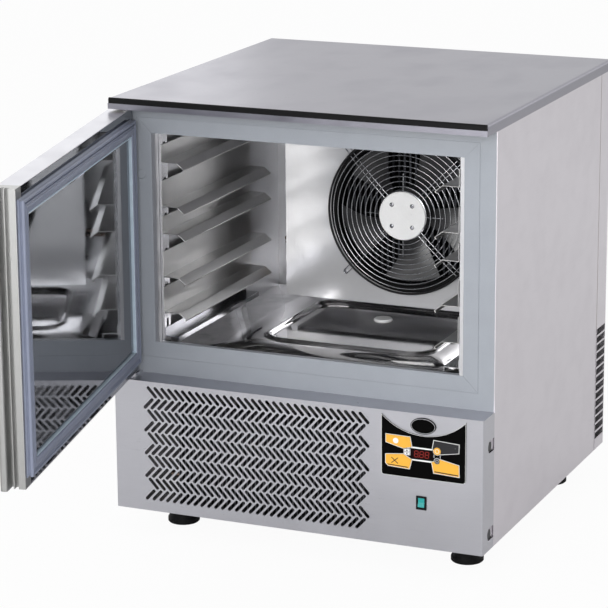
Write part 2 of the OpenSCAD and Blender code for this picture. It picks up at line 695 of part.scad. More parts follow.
// Lower front panel: a folded box with the herringbone grille, and notches for its thumb screws
grille_x = -side_x + 80;
grille_z = lower_top - 20.5;
module lower_panel() {
    t = 1.2;
    y1 = face_y - gap;
    color(steel) difference() {
        flat_plate(foot_h, lower_top) panel_outline(0, y1);
        flat_plate(foot_h + t, lower_top - t) panel_outline(t, face_y + 1);
        block([-side_x + 24, panel_y + 14, foot_h - 1], [side_x - 24, face_y + 1, foot_h + 5]);
        upright_plate(panel_y - 1, panel_y + 3) for (row = [0 : slot_rows - 1], i = [0 : slots_per_row - 1])
            translate([grille_x + (i - (row % 2) / 2) * slot_pitch, grille_z - row * row_pitch])
                rotate(row % 2 == 0 ? -47 : 47) slot(slot_l, slot_w);
        for (s = [-1, 1], z = notch_z) mirrored(s) {
            block([side_x - 3, notch_y, z - notch_r], [side_x + 1, y1 + 1, z + notch_r]);
            translate([side_x - 3, notch_y, z]) rotate([0, 90, 0]) cylinder(r = notch_r, h = 5);
        }
        block([ctl_x - 40, panel_y - 1, ctl_z0 + 14], [ctl_x + 40, panel_y + 3, ctl_z0 + 80]);
        block([switch_x - switch_w / 2 + 1.6, panel_y - 1, switch_z - switch_h / 2 + 1.6],
            [switch_x + switch_w / 2 - 1.6, panel_y + 3, switch_z + switch_h / 2 - 1.6]);
    }
}

// The folded box from above, smaller by c, back to y1
fold_r = 3.5;
module panel_outline(c, y1) {
    translate([-side_x + c, panel_y + fold_r]) square([cabinet_w - 2 * c, y1 - panel_y - fold_r]);
    translate([-side_x + fold_r, panel_y + c]) square([cabinet_w - 2 * fold_r, y1 - panel_y - c]);
    for (s = [-1, 1]) translate([s * (side_x - fold_r), panel_y + fold_r]) circle(fold_r - c);
}

module slot(l, w) {
    square([l - w, w], center = true);
    for (s = [-1, 1]) translate([s * (l - w) / 2, 0]) circle(w / 2, $fn = 16);
}

// Thumb screws that hold the lower panel's wings to the body
module panel_screws() {
    color(bright) for (s = [-1, 1], z = notch_z) mirrored(s) translate([tab_x, notch_y, z]) rotate([0, 90, 0]) {
        cylinder(r = notch_r - 3, h = 4);
        translate([0, 0, -12]) cylinder(r = 3, h = 13);
    }
}

// Control overlay: a black plate with an arc cut from its top edge
arc_r = (pow(overlay_w / 2, 2) + pow(overlay_sag, 2)) / (2 * overlay_sag);
key_start_shape = [[-73, 78.5], [-26.5, 77.7], [-23, 60], [-39, 55.4], [-73, 64]];
key_mode_shape = [[-73.5, 39.8], [-39, 43.7], [-23, 34.7], [-27.5, 17.2], [-69, 19], [-73.5, 23.5]];
key_menu_shape = [[33, 41.3], [69, 34], [69.5, 12.8], [21, 15], [17, 34.7]];
key_print_shape = [[21, 76.4], [69, 73.6], [68.5, 58], [33.5, 52], [18, 60]];
arrow_keys = [[-32, 52.2], [-32, 46]];
arrow_w = 10;
arrow_h = 4.4;
round_keys = [[27, 57, 7], [27, 37.5, 5]];
window_x = [-25, 18.5];
window_z = [37.5, 56.5];
oval_w = 49.5;
oval_h = 31;

module control_overlay() {
    color(black) upright_plate(overlay_y, panel_y) translate([ctl_x, ctl_z0]) difference() {
        union() {
            translate([-overlay_w / 2, 6]) square([overlay_w, overlay_h - 6]);
            translate([-overlay_w / 2 + 6, 0]) square([overlay_w - 12, 7]);
            for (s = [-1, 1]) translate([s * (overlay_w / 2 - 6), 6]) circle(6);
        }
        translate([0, overlay_h + arc_r - overlay_sag]) circle(arc_r, $fn = 160);
        translate([-0.5, overlay_h - 15.5]) scale([1, oval_h / oval_w]) circle(oval_w / 2 + gap);
        for (shape = [key_start_shape, key_mode_shape, key_menu_shape, key_print_shape]) offset(delta = gap) polygon(shape);
        for (k = round_keys) translate([k[0], k[1]]) circle(k[2] + gap);
        for (k = arrow_keys) translate(k) square([arrow_w + 2 * gap, arrow_h + 2 * gap], center = true);
        translate([window_x[0], window_z[0]]) square([window_x[1] - window_x[0], window_z[1] - window_z[0]]);
    }
}

module oval_plate() {
    color(black) upright_plate(overlay_y - 0.4, panel_y) translate([ctl_x - 0.5, ctl_z1 - 15.5])
        scale([1, oval_h / oval_w]) circle(oval_w / 2);
}

// A printed key, cut back where a round key stands in its corner
module key(shape) upright_plate(overlay_y - key_proud, panel_y - key_proud - 0.1)
    translate([ctl_x, ctl_z0]) difference() {
        polygon(shape);
        for (k = round_keys) translate([k[0], k[1]]) circle(k[2] + gap);
    }

module round_key(i) {
    k = round_keys[i];
    bar_y(ctl_x + k[0], ctl_z0 + k[1], k[2], overlay_y - key_proud, panel_y - key_proud - 0.1);
}

module arrow_key(i) upright_plate(overlay_y - key_proud, panel_y - key_proud - 0.1)
    translate([ctl_x, ctl_z0] + arrow_keys[i]) square([arrow_w, arrow_h], center = true);

module display_window() {
    color([0.12, 0.02, 0.03]) block([ctl_x + window_x[0] + gap, overlay_y + 0.3, ctl_z0 + window_z[0] + gap],
        [ctl_x + window_x[1] - gap, panel_y + 1, ctl_z0 + window_z[1] - gap]);
}

// Control board: stands behind the panel on four posts and carries the display and the relays
module control_board() {
    y = panel_y + 1.2;
    color([0.1, 0.35, 0.2]) {
        block([ctl_x - 78, y + 12, ctl_z0 + 2], [ctl_x + 78, y + 13.6, ctl_z1 - 14]);
        for (x = [-70, 70], z = [ctl_z0 + 10, ctl_z1 - 22]) bar_y(ctl_x + x, z, 3.5, y, y + 13);
        block([ctl_x + window_x[0], y, ctl_z0 + window_z[0]], [ctl_x + window_x[1], y + 12.5, ctl_z0 + window_z[1]]);
        block([ctl_x - 60, y + 13, ctl_z0 + 10], [ctl_x - 10, y + 33, ctl_z0 + 55]);
        block([ctl_x + 10, y + 13, ctl_z0 + 20], [ctl_x + 50, y + 29, ctl_z0 + 50]);
    }
}

// Rocker switch: a bezel that clips into the panel, and a see-saw on a cross pin
module switch_bezel() {
    w = switch_w / 2;
    h = switch_h / 2;
    color(black) difference() {
        union() {
            block([switch_x - w, panel_y - 2, switch_z - h], [switch_x + w, panel_y, switch_z + h]);
            block([switch_x - w + 2, panel_y - e, switch_z - h + 2], [switch_x + w - 2, panel_y + 24, switch_z + h - 2]);
        }
        block([switch_x - w + 3.4, panel_y - 3, switch_z - h + 3.4], [switch_x + w - 3.4, panel_y + 14, switch_z + h - 3.4]);
        translate([switch_x - w + 2.4, panel_y + 4, switch_z]) rotate([0, 90, 0]) cylinder(r = 1.5, h = 2 * w - 4.8);
    }
}

rocker_tilt = 9;
module rocker() {
    w = switch_w / 2 - 3.8;
    h = switch_h / 2 - 4.4;
    color([0.05, 0.5, 0.45]) translate([switch_x, panel_y + 4, switch_z]) {
        rotate([-rocker_tilt, 0, 0]) translate([w, 0, 0]) rotate([90, 0, -90]) linear_extrude(2 * w)
            polygon([[6.6, -h], [5, 0], [6.6, h], [3.4, h], [-3.5, 3], [-3.5, -3], [3.4, -h]]);
        translate([-w - 1, 0, 0]) rotate([0, 90, 0]) cylinder(r = 1.45, h = 2 * w + 2);
    }
}

// Condensing unit: coil, shroud, fan and motor, compressor, receiver and drier
module condenser_coil() {
    z0 = cond_z - cond_h / 2;
    color([0.35, 0.36, 0.38]) {
        fin_block(cond_x0, cond_x0 + cond_w, cond_y, cond_y + cond_t, z0, z0 + cond_h, 44);
        for (x = [cond_x0 - 2, cond_x0 + cond_w - e]) block([x, cond_y - 4, deck_z], [x + 2, cond_y + cond_t, z0 + cond_h + 6]);
    }
    color(copper) for (k = [0 : 3]) {
        return_bend(cond_x0 - 2, cond_y + 22, z0 + 28 + k * 48, -1, 12, 4.5);
        return_bend(cond_x0 + cond_w + 2, cond_y + 22, z0 + 28 + k * 48, 1, 12, 4.5);
    }
}

module condenser_shroud() {
    r = condenser_fan_r + 4;
    y = cond_y + cond_t;
    z0 = cond_z - cond_h / 2;
    color(steel * 0.8) difference() {
        union() {
            block([cond_x0, y, z0], [cond_x0 + cond_w, y + shroud_d, z0 + cond_h]);
            bar_y(cond_x, cond_z, r + 1.5, y + shroud_d - 1, y + shroud_d + ring_d);
        }
        block([cond_x0 + 1.5, y - 1, z0 + 1.5], [cond_x0 + cond_w - 1.5, y + shroud_d - 1.5, z0 + cond_h - 1.5]);
        bar_y(cond_x, cond_z, r, y + shroud_d - 5, y + shroud_d + ring_d + 1);
    }
}

module condenser_motor() {
    y = blade_y + 22;
    color([0.2, 0.2, 0.22]) {
        bar_y(cond_x, cond_z, 38, y, y + 62);
        bar_y(cond_x, cond_z, 4, blade_y - 18, y + e);
        block([cond_x - 42, y + 20, deck_z], [cond_x + 42, y + 23, cond_z]);
        block([cond_x - 42, y + 20, deck_z], [cond_x + 42, y + 60, deck_z + sheet]);
    }
}

module condenser_blades() {
    color([0.6, 0.6, 0.62]) translate([cond_x, 0, cond_z])
        rotor(24, condenser_fan_r, blade_y - 12, 26, 5, 4.05, 19, 50, 20);
}

module compressor() {
    z = deck_z;
    color([0.1, 0.1, 0.11]) {
        translate([comp_x, comp_y, z + 12]) rotate_extrude($fn = 64) polygon([[0, 0], [comp_r - 22, 0], [comp_r - 6, 8],
            [comp_r, 24], [comp_r, 108], [comp_r + 3, 110], [comp_r + 3, 116], [comp_r, 118], [comp_r - 2, 138],
            [comp_r - 14, 158], [comp_r - 40, 170], [0, 174]]);
        for (sx = [-1, 1], sy = [-1, 1]) bar_z(comp_x + sx * 80, comp_y + sy * 64, 12, z, z + 13);
        block([comp_x - 94, comp_y - 78, z + 12], [comp_x + 94, comp_y + 78, z + 15]);
        block([comp_x - comp_r - 24, comp_y - 28, z + 58], [comp_x - comp_r + 8, comp_y + 28, z + 114]);
    }
}

module liquid_receiver() {
    h = 150;
    color(black) {
        translate([receiver_x, receiver_y, deck_z]) rotate_extrude() polygon([[0, 4], [receiver_r - 8, 4], [receiver_r, 16],
            [receiver_r, h - 14], [receiver_r - 8, h - 4], [receiver_r - 22, h], [0, h]]);
        bar_z(receiver_x, receiver_y, receiver_r - 12, deck_z, deck_z + 5);
    }
}

// Filter drier, in the liquid line that leaves the receiver's top
drier_z = deck_z + 180;
module filter_drier() {
    color(copper) turned_y(receiver_x, receiver_y + 22, drier_z)
        polygon([[0, 0], [6, 0], [12, 10], [12, 76], [6, 86], [0, 86]]);
}

module refrigerant_pipes() {
    rx = receiver_x;
    ry = receiver_y;
    z = deck_z;
    color(copper) {
        // Suction line, down the duct from the evaporator to the compressor
        pipe([[coil_x0 - 2 - gap, coil_y0 + 50, pipe_z + 7], [pipe_x, coil_y0 + 50, pipe_z + 7], [pipe_x, pipe_y, pipe_z + 7],
            [pipe_x, pipe_y, z + 200], [comp_x - 40, pipe_y, z + 200], [comp_x - 40, comp_y + 40, z + 200],
            [comp_x - 40, comp_y + 40, z + 178.5]], 5);
        // Discharge line, from the compressor forward to the condenser
        pipe([[comp_x, comp_y - comp_r - gap, cond_z], [comp_x, cond_y + 22, cond_z],
            [cond_x0 + cond_w + 2 + gap, cond_y + 22, cond_z]], 4);
        // Liquid line, from the condenser to the receiver
        pipe([[cond_x0 - 2 - gap, cond_y + 22, cond_z - 48], [cond_x0 - 30, cond_y + 22, cond_z - 48],
            [cond_x0 - 30, ry - receiver_r - 40, cond_z - 48], [rx, ry - receiver_r - 40, cond_z - 48],
            [rx, ry - receiver_r - gap, cond_z - 48]], 4);
        // Outlet through the drier and up the duct to the evaporator
        pipe([[rx, ry, z + 150 + gap], [rx, ry, drier_z], [rx, ry + 22 - gap, drier_z]], 3.5);
        pipe([[rx, ry + 108 + gap, drier_z], [rx, pipe_y, drier_z], [pipe_x - 9, pipe_y, drier_z],
            [pipe_x - 9, pipe_y, pipe_z - 7], [pipe_x - 9, coil_y0 + 70, pipe_z - 7],
            [coil_x0 - 2 - gap, coil_y0 + 70, pipe_z - 7]], 3.5);
    }
}

// Hinges: plates on the cabinet, whose pins stand into bushes in the door
pin_l = 14;
module hinge_plate(z0, up) {
    color(bright) {
        flat_plate(z0, z0 + hinge_t) {
            translate([hinge_x, hinge_y]) circle(13);
            translate([hinge_x - 13, hinge_y]) square([26, face_y - hinge_y]);
        }
        bar_z(hinge_x, hinge_y, pin_r, up ? z0 : z0 - pin_l, up ? z0 + hinge_t + pin_l : z0 + hinge_t);
    }
}

bush_r = pin_r + 3;
bush_l = pin_l + 2;
module hinge_bushes() {
    color([0.9, 0.9, 0.88]) door_place() for (z = [door_z0, door_z1 - bush_l]) translate([hinge_x, hinge_y, z]) difference() {
        cylinder(r = bush_r, h = bush_l);
        translate([0, 0, -1]) cylinder(r = pin_r + 0.05, h = bush_l + 2);
    }
}

// Door skin: outer sheet with a round hinge corner, folded over the top and bottom
corner_r = 10;
module door_skin() {
    color(steel) door_place() difference() {
        flat_plate(door_z0, door_z1) door_outline(0);
        flat_plate(door_z0 + skin_t, door_z1 - skin_t) door_outline(skin_t);
        bar_z(hinge_x, hinge_y, bush_r + gap, door_z0 - 1, door_z1 + 1);
    }
}

module door_outline(c) {
    translate([door_x0 + corner_r, door_out_y + corner_r]) circle(corner_r - c);
    translate([door_x0 + corner_r, door_out_y + c])
        square([core_x1 - door_x0 - corner_r + (c > 0 ? 1 : 0), door_t - c + (c > 0 ? 1 : 0)]);
    translate([door_x0 + c, door_out_y + corner_r]) square([corner_r, door_t - corner_r + (c > 0 ? 1 : 0)]);
}

module door_core() {
    c = skin_t;
    color([0.9, 0.82, 0.55]) door_place() difference() {
        block([door_x0 + corner_r, door_out_y + c, door_z0 + c], [core_x1, door_in_y - c, door_z1 - c]);
        for (z = [door_z0, door_z1 - bush_l - gap]) bar_z(hinge_x, hinge_y, bush_r + gap, z - 1, z + bush_l + gap);
    }
}

// Door inner panel: flat sheet with a bright field inside the gasket, pressed out with bevelled edges
field_h = 5;
field_bevel = 7;
module door_inner_panel() {
    c = skin_t;
    g = gasket_w + gap;
    function ring(g, y) = [[gasket_x0 + g, y, gasket_z0 + g], [gasket_x1 - g, y, gasket_z0 + g],
        [gasket_x1 - g, y, gasket_z1 - g], [gasket_x0 + g, y, gasket_z1 - g]];
    color(bright) door_place() {
        block([door_x0 + c, door_in_y - c, door_z0 + c], [core_x1, door_in_y, door_z1 - c]);
        polyhedron(concat(ring(g, door_in_y - e), ring(g + field_bevel, door_in_y + field_h)),
            [[0, 3, 2, 1], [4, 5, 6, 7], [0, 1, 5, 4], [1, 2, 6, 5], [2, 3, 7, 6], [3, 0, 4, 7]]);
    }
}

// Handle: a full-height profile with a rounded lip and two grooves behind it
module door_handle() {
    y = door_out_y;
    xs = door_x1 - lip;
    r = 6;
    color(steel) door_place() flat_plate(door_z0, door_z1) difference() {
        union() {
            translate([core_x1, y]) square([door_x1 - r - core_x1, 13]);
            translate([door_x1 - r, y + r]) circle(r);
            translate([door_x1 - r, y + 7]) square([r, 3]);
            translate([door_x1 - 3, y + 10]) circle(3);
            translate([core_x1, y]) square([xs - core_x1, door_t]);
        }
        translate([xs - 12, y + 13]) square([handle_w, 6]);
        translate([xs - 12, y + 20.8]) square([handle_w, 7.2]);
    }
}

// Gasket: a ribbed profile run round the door and mitred at its corners
module door_gasket() {
    w = gasket_x1 - gasket_x0;
    h = gasket_z1 - gasket_z0;
    color([0.55, 0.58, 0.66]) door_place()
        translate([(gasket_x0 + gasket_x1) / 2, door_in_y, (gasket_z0 + gasket_z1) / 2]) {
            for (s = [0, 180]) rotate([0, s, 0]) gasket_side(w, h);
            for (s = [90, 270]) rotate([0, s, 0]) gasket_side(h, w);
        }
}

module gasket_side(l, across) {
    intersection() {
        translate([-l / 2, 0, -across / 2]) rotate([90, 0, 90]) linear_extrude(l) gasket_profile();
        upright_plate(-1, gasket_t + 1) polygon([[-l / 2, -across / 2], [l / 2, -across / 2],
            [l / 2 - gasket_w, -across / 2 + gasket_w], [-l / 2 + gasket_w, -across / 2 + gasket_w]]);
    }
}

// Across the profile: Y out of the door, X (here the first number) is its height
module gasket_profile() {
    w = gasket_w;
    t = gasket_t;
    polygon([[0, 0], [t * 0.2, 0], [t * 0.3, 2.5], [t * 0.42, 2.5], [t * 0.5, 0.8], [t * 0.72, 0.8], [t * 0.78, 3],
        [t, 5], [t, 8.5], [t * 0.85, 10], [t * 0.85, 12], [t, 13.5], [t, w - 4], [t * 0.85, w - 1], [t * 0.55, w - 1],
        [t * 0.45, w - 4], [t * 0.3, w - 4], [t * 0.2, w], [0, w]]);
    translate([t - 3, 4.2]) circle(3);
}

worktop();
worktop_board();
worktop_trim();
side_panel(-1);  // side_panel_left
side_panel(1);  // side_panel_right
rear_cover();
base_tray();
levelling_feet();
cable_gland();
insulation();
chamber_liner();
chamber_floor();
breaker_frame();
door_sensor_cap();
evaporator_panel();
evaporator_coil();
drip_tray();
fan_shroud();
fan_guard();
guard_disc();
guard_screws();
fan_motor();
rack_uprights();
rack_rails();
tray_slides(-1);  // tray_slides_left
tray_slides(1);  // tray_slides_right
lower_panel();
panel_screws();
control_overlay();
oval_plate();
display_window();
control_board();
switch_bezel();
compressor();
condenser_coil();
condenser_shroud();
condenser_motor();
liquid_receiver();
filter_drier();
refrigerant_pipes();
hinge_plate(body_top - hinge_t, false);  // hinge_plate_top
hinge_plate(lower_top, true);  // hinge_plate_bottom
door_skin();
door_handle();
door_core();
door_inner_panel();
door_gasket();
hinge_bushes();
fan_blades();
condenser_blades();
rocker();
drain_plug();
color(amber) key(key_start_shape);  // key_start
color(amber) key(key_mode_shape);  // key_mode
color(amber) key(key_menu_shape);  // key_menu
color([0.2, 0.2, 0.21]) key(key_print_shape);  // key_print
color([0.85, 0.85, 0.85]) arrow_key(0);  // key_up
color([0.85, 0.85, 0.85]) arrow_key(1);  // key_down
color(amber) round_key(0);  // key_round_upper
color([0.4, 0.4, 0.42]) round_key(1);  // key_round_lower
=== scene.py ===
import json
import math

import bmesh
import bpy
from mathutils import Matrix, Vector


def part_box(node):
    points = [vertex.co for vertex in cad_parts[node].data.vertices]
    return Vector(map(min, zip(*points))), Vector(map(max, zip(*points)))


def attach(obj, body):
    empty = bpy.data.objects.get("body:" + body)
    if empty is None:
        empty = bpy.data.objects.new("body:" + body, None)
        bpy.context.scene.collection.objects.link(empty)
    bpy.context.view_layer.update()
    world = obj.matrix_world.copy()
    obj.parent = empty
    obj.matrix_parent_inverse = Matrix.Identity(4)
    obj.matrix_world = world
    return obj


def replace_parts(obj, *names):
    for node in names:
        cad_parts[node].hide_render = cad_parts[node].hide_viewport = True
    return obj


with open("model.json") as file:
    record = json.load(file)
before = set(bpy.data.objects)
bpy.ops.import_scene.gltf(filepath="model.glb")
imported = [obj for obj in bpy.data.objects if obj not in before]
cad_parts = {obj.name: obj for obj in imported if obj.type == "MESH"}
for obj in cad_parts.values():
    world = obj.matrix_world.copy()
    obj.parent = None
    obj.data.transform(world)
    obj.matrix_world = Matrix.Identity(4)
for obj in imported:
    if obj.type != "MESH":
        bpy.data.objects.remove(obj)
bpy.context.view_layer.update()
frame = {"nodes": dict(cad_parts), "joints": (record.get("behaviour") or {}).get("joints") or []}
nodes = frame["nodes"]
print("frame loaded:", len(nodes), "nodes")


# shader maths written as maths
class Wire:  # one output socket
    def __init__(self, board, socket):
        self.board, self.socket = board, socket

    def calc(self, operation, first, second):
        return self.board.add("ShaderNodeMath", {"operation": operation}, {0: first, 1: second})

    def __add__(self, other):
        return self.calc("ADD", self, other)

    def __radd__(self, other):
        return self.calc("ADD", other, self)

    def __sub__(self, other):
        return self.calc("SUBTRACT", self, other)

    def __rsub__(self, other):
        return self.calc("SUBTRACT", other, self)

    def __mul__(self, other):
        return self.calc("MULTIPLY", self, other)

    def __rmul__(self, other):
        return self.calc("MULTIPLY", other, self)


class Board:  # the node tree of a material or a world
    def __init__(self, owner, outputKind):
        owner.use_nodes = True
        self.tree = owner.node_tree
        self.tree.nodes.clear()
        self.out = self.tree.nodes.new(outputKind)

    def feed(self, socket, value):
        if isinstance(value, Wire):
            self.tree.links.new(value.socket, socket)
        else:
            socket.default_value = value

    def add(self, kind, settings, inputs, output=0):
        node = self.tree.nodes.new(kind)
        for key, value in settings.items():
            if key == "stops":
                ramp = node.color_ramp
                while len(ramp.elements) < len(value):
                    ramp.elements.new(0.5)
                for element, (place, shade) in zip(ramp.elements, value):
                    element.position = place
                    element.color = (shade, shade, shade, 1)
            else:
                setattr(node, key, value)
        for key, value in inputs.items():
            self.feed(node.inputs[key], value)
        return Wire(self, node.outputs[output])

    def show(self, surface):
        self.feed(self.out.inputs["Surface"], surface)


socketNames = {"colour": "Base Color", "roughness": "Roughness", "metallic": "Metallic",
               "coat": "Coat Weight", "specular": "Specular IOR Level", "normal": "Normal",
               "glow": "Emission Strength", "glowColour": "Emission Color"}


class Finish(Board):  # a material with one Principled shader
    def __init__(self, name):
        self.material = bpy.data.materials.new(name)
        super().__init__(self.material, "ShaderNodeOutputMaterial")
        self.surface = self.add("ShaderNodeBsdfPrincipled", {}, {})
        self.show(self.surface)

    def ramp(self, value, *stops):
        return self.add("ShaderNodeValToRGB", {"stops": stops}, {"Fac": value})

    def noise(self, size, detail):  # size: how many millimetres one blotch takes along X, Y and Z
        where = self.add("ShaderNodeTexCoord", {}, {}, "Object")
        scale = tuple(1000 / s for s in size)
        place = self.add("ShaderNodeMapping", {}, {"Vector": where, "Scale": scale})
        return self.add("ShaderNodeTexNoise", {}, {"Vector": place, "Scale": 1.0, "Detail": detail})

    def tint(self, colour, tone):  # a colour made lighter and darker by a number around 1
        grey = self.add("ShaderNodeCombineColor", {}, {0: tone, 1: tone, 2: tone})
        return self.add("ShaderNodeMix", {"data_type": "RGBA", "blend_type": "MULTIPLY"},
                        {0: 1.0, 6: (*colour, 1), 7: grey}, 2)

    def set(self, **values):
        for key, value in values.items():
            if key in ("colour", "glowColour") and not isinstance(value, Wire):
                value = (*value, 1)
            self.feed(self.surface.socket.node.inputs[socketNames[key]], value)
        return self.material

    def bump(self, height, distance):  # distance in metres
        return self.add("ShaderNodeBump", {}, {"Height": height, "Distance": distance})


def brushedSteel(name, tone, grain, roughness=0.3, depth=0.00002):  # grain is short across the strokes
    board = Finish(name)
    fine = board.noise(grain, 4.0)
    cloud = board.noise((260, 260, 260), 2.0)
    smudge = board.ramp(board.noise((90, 140, 70), 3.0), (0.45, 0.0), (0.8, 1.0))
    return board.set(colour=board.tint(tone, 1 + (fine - 0.5) * 0.10 + (cloud - 0.5) * 0.06),
                     roughness=roughness + (fine - 0.5) * 0.12 + smudge * 0.06, metallic=1.0,
                     normal=board.bump(fine, depth))


def brightSteel(name, tone, roughness, wave=0.00012, metal=1.0):  # wave: depth of the sheet's slow ripples
    board = Finish(name)
    ripple = board.noise((75, 90, 60), 1.0)
    haze = board.ramp(board.noise((40, 60, 50), 4.0), (0.4, 0.0), (0.75, 1.0))
    scratch = board.ramp(board.noise((60, 60, 0.7), 2.0), (0.62, 0.0), (0.7, 1.0))
    return board.set(colour=board.tint(tone, 1 - haze * 0.04 - scratch * 0.04), metallic=metal,
                     roughness=roughness + haze * 0.05 + scratch * 0.04, normal=board.bump(ripple, wave))


def mouldedPlastic(name, colour, roughness, grain, depth, coat=0.0, specular=0.5):
    board = Finish(name)
    pebble = board.noise((grain, grain, grain), 2.0)
    cloud = board.noise((45, 45, 45), 3.0)
    return board.set(colour=board.tint(colour, 1 + (pebble - 0.5) * 0.10 + (cloud - 0.5) * 0.12),
                     roughness=roughness + (cloud - 0.5) * 0.12, coat=coat, specular=specular,
                     normal=board.bump(pebble, depth))


def paintedMetal(name, colour, roughness=0.35):
    board = Finish(name)
    orangePeel = board.noise((3, 3, 3), 2.0)
    cloud = board.noise((60, 60, 60), 3.0)
    return board.set(colour=board.tint(colour, 1 + (cloud - 0.5) * 0.2), specular=0.25,
                     roughness=roughness + (cloud - 0.5) * 0.15, normal=board.bump(orangePeel, 0.00008))


def galvanisedSheet(name, tone):
    board = Finish(name)
    where = board.add("ShaderNodeTexCoord", {}, {}, "Object")
    flakes = board.add("ShaderNodeTexVoronoi", {}, {"Vector": where, "Scale": 70.0}, "Color")
    grey = board.add("ShaderNodeSeparateColor", {}, {0: flakes}, 0)
    return board.set(colour=board.tint(tone, 0.85 + grey * 0.3), roughness=0.32 + grey * 0.2, metallic=0.9)


def foamBlock(name, colour):
    board = Finish(name)
    cells = board.noise((1.5, 1.5, 1.5), 5.0)
    patch = board.noise((60, 60, 60), 3.0)
    return board.set(colour=board.tint(colour, 0.9 + (cells - 0.5) * 0.3 + (patch - 0.5) * 0.2),
                     roughness=0.85, normal=board.bump(cells, 0.0006))


def copperTube(name, tone):
    board = Finish(name)
    drawn = board.noise((12, 12, 12), 4.0)
    tarnish = board.ramp(board.noise((30, 30, 30), 4.0), (0.45, 0.0), (0.7, 1.0))
    return board.set(colour=board.tint(tone, 1 - tarnish * 0.35), roughness=0.28 + tarnish * 0.2,
                     metallic=1.0, normal=board.bump(drawn, 0.00005))


def rubberSeal(name, colour):
    board = Finish(name)
    skin = board.noise((2, 2, 2), 3.0)
    chalk = board.ramp(board.noise((22, 22, 22), 4.0), (0.4, 0.0), (0.75, 1.0))
    return board.set(colour=board.tint(colour, 0.95 + chalk * 0.1 + (skin - 0.5) * 0.06), coat=0.15,
                     roughness=0.42 + chalk * 0.12, normal=board.bump(skin, 0.00005))


def printedFilm(name, colour, roughness=0.3, coat=0.4, specular=0.5, glow=0.0):
    board = Finish(name)
    dots = board.noise((0.5, 0.5, 0.5), 1.0)
    wipe = board.noise((30, 30, 18), 3.0)
    board.set(colour=board.tint(colour, 1 + (dots - 0.5) * 0.08 + (wipe - 0.5) * 0.08),
              roughness=roughness + (wipe - 0.5) * 0.1, coat=coat, specular=specular,
              normal=board.bump(dots, 0.00001))
    if glow:
        board.set(glow=glow, glowColour=colour)
    return board.material


def circuitBoard(name, colour):
    board = Finish(name)
    where = board.add("ShaderNodeTexCoord", {}, {}, "Object")
    cells = board.add("ShaderNodeTexVoronoi", {"distance": "MANHATTAN"}, {"Vector": where, "Scale": 240.0},
                      "Distance")
    tracks = board.ramp(cells, (0.3, 0.0), (0.36, 1.0))
    return board.set(colour=board.tint(colour, 0.8 + tracks * 0.5), roughness=0.35, coat=0.4,
                     normal=board.bump(tracks, 0.00003))


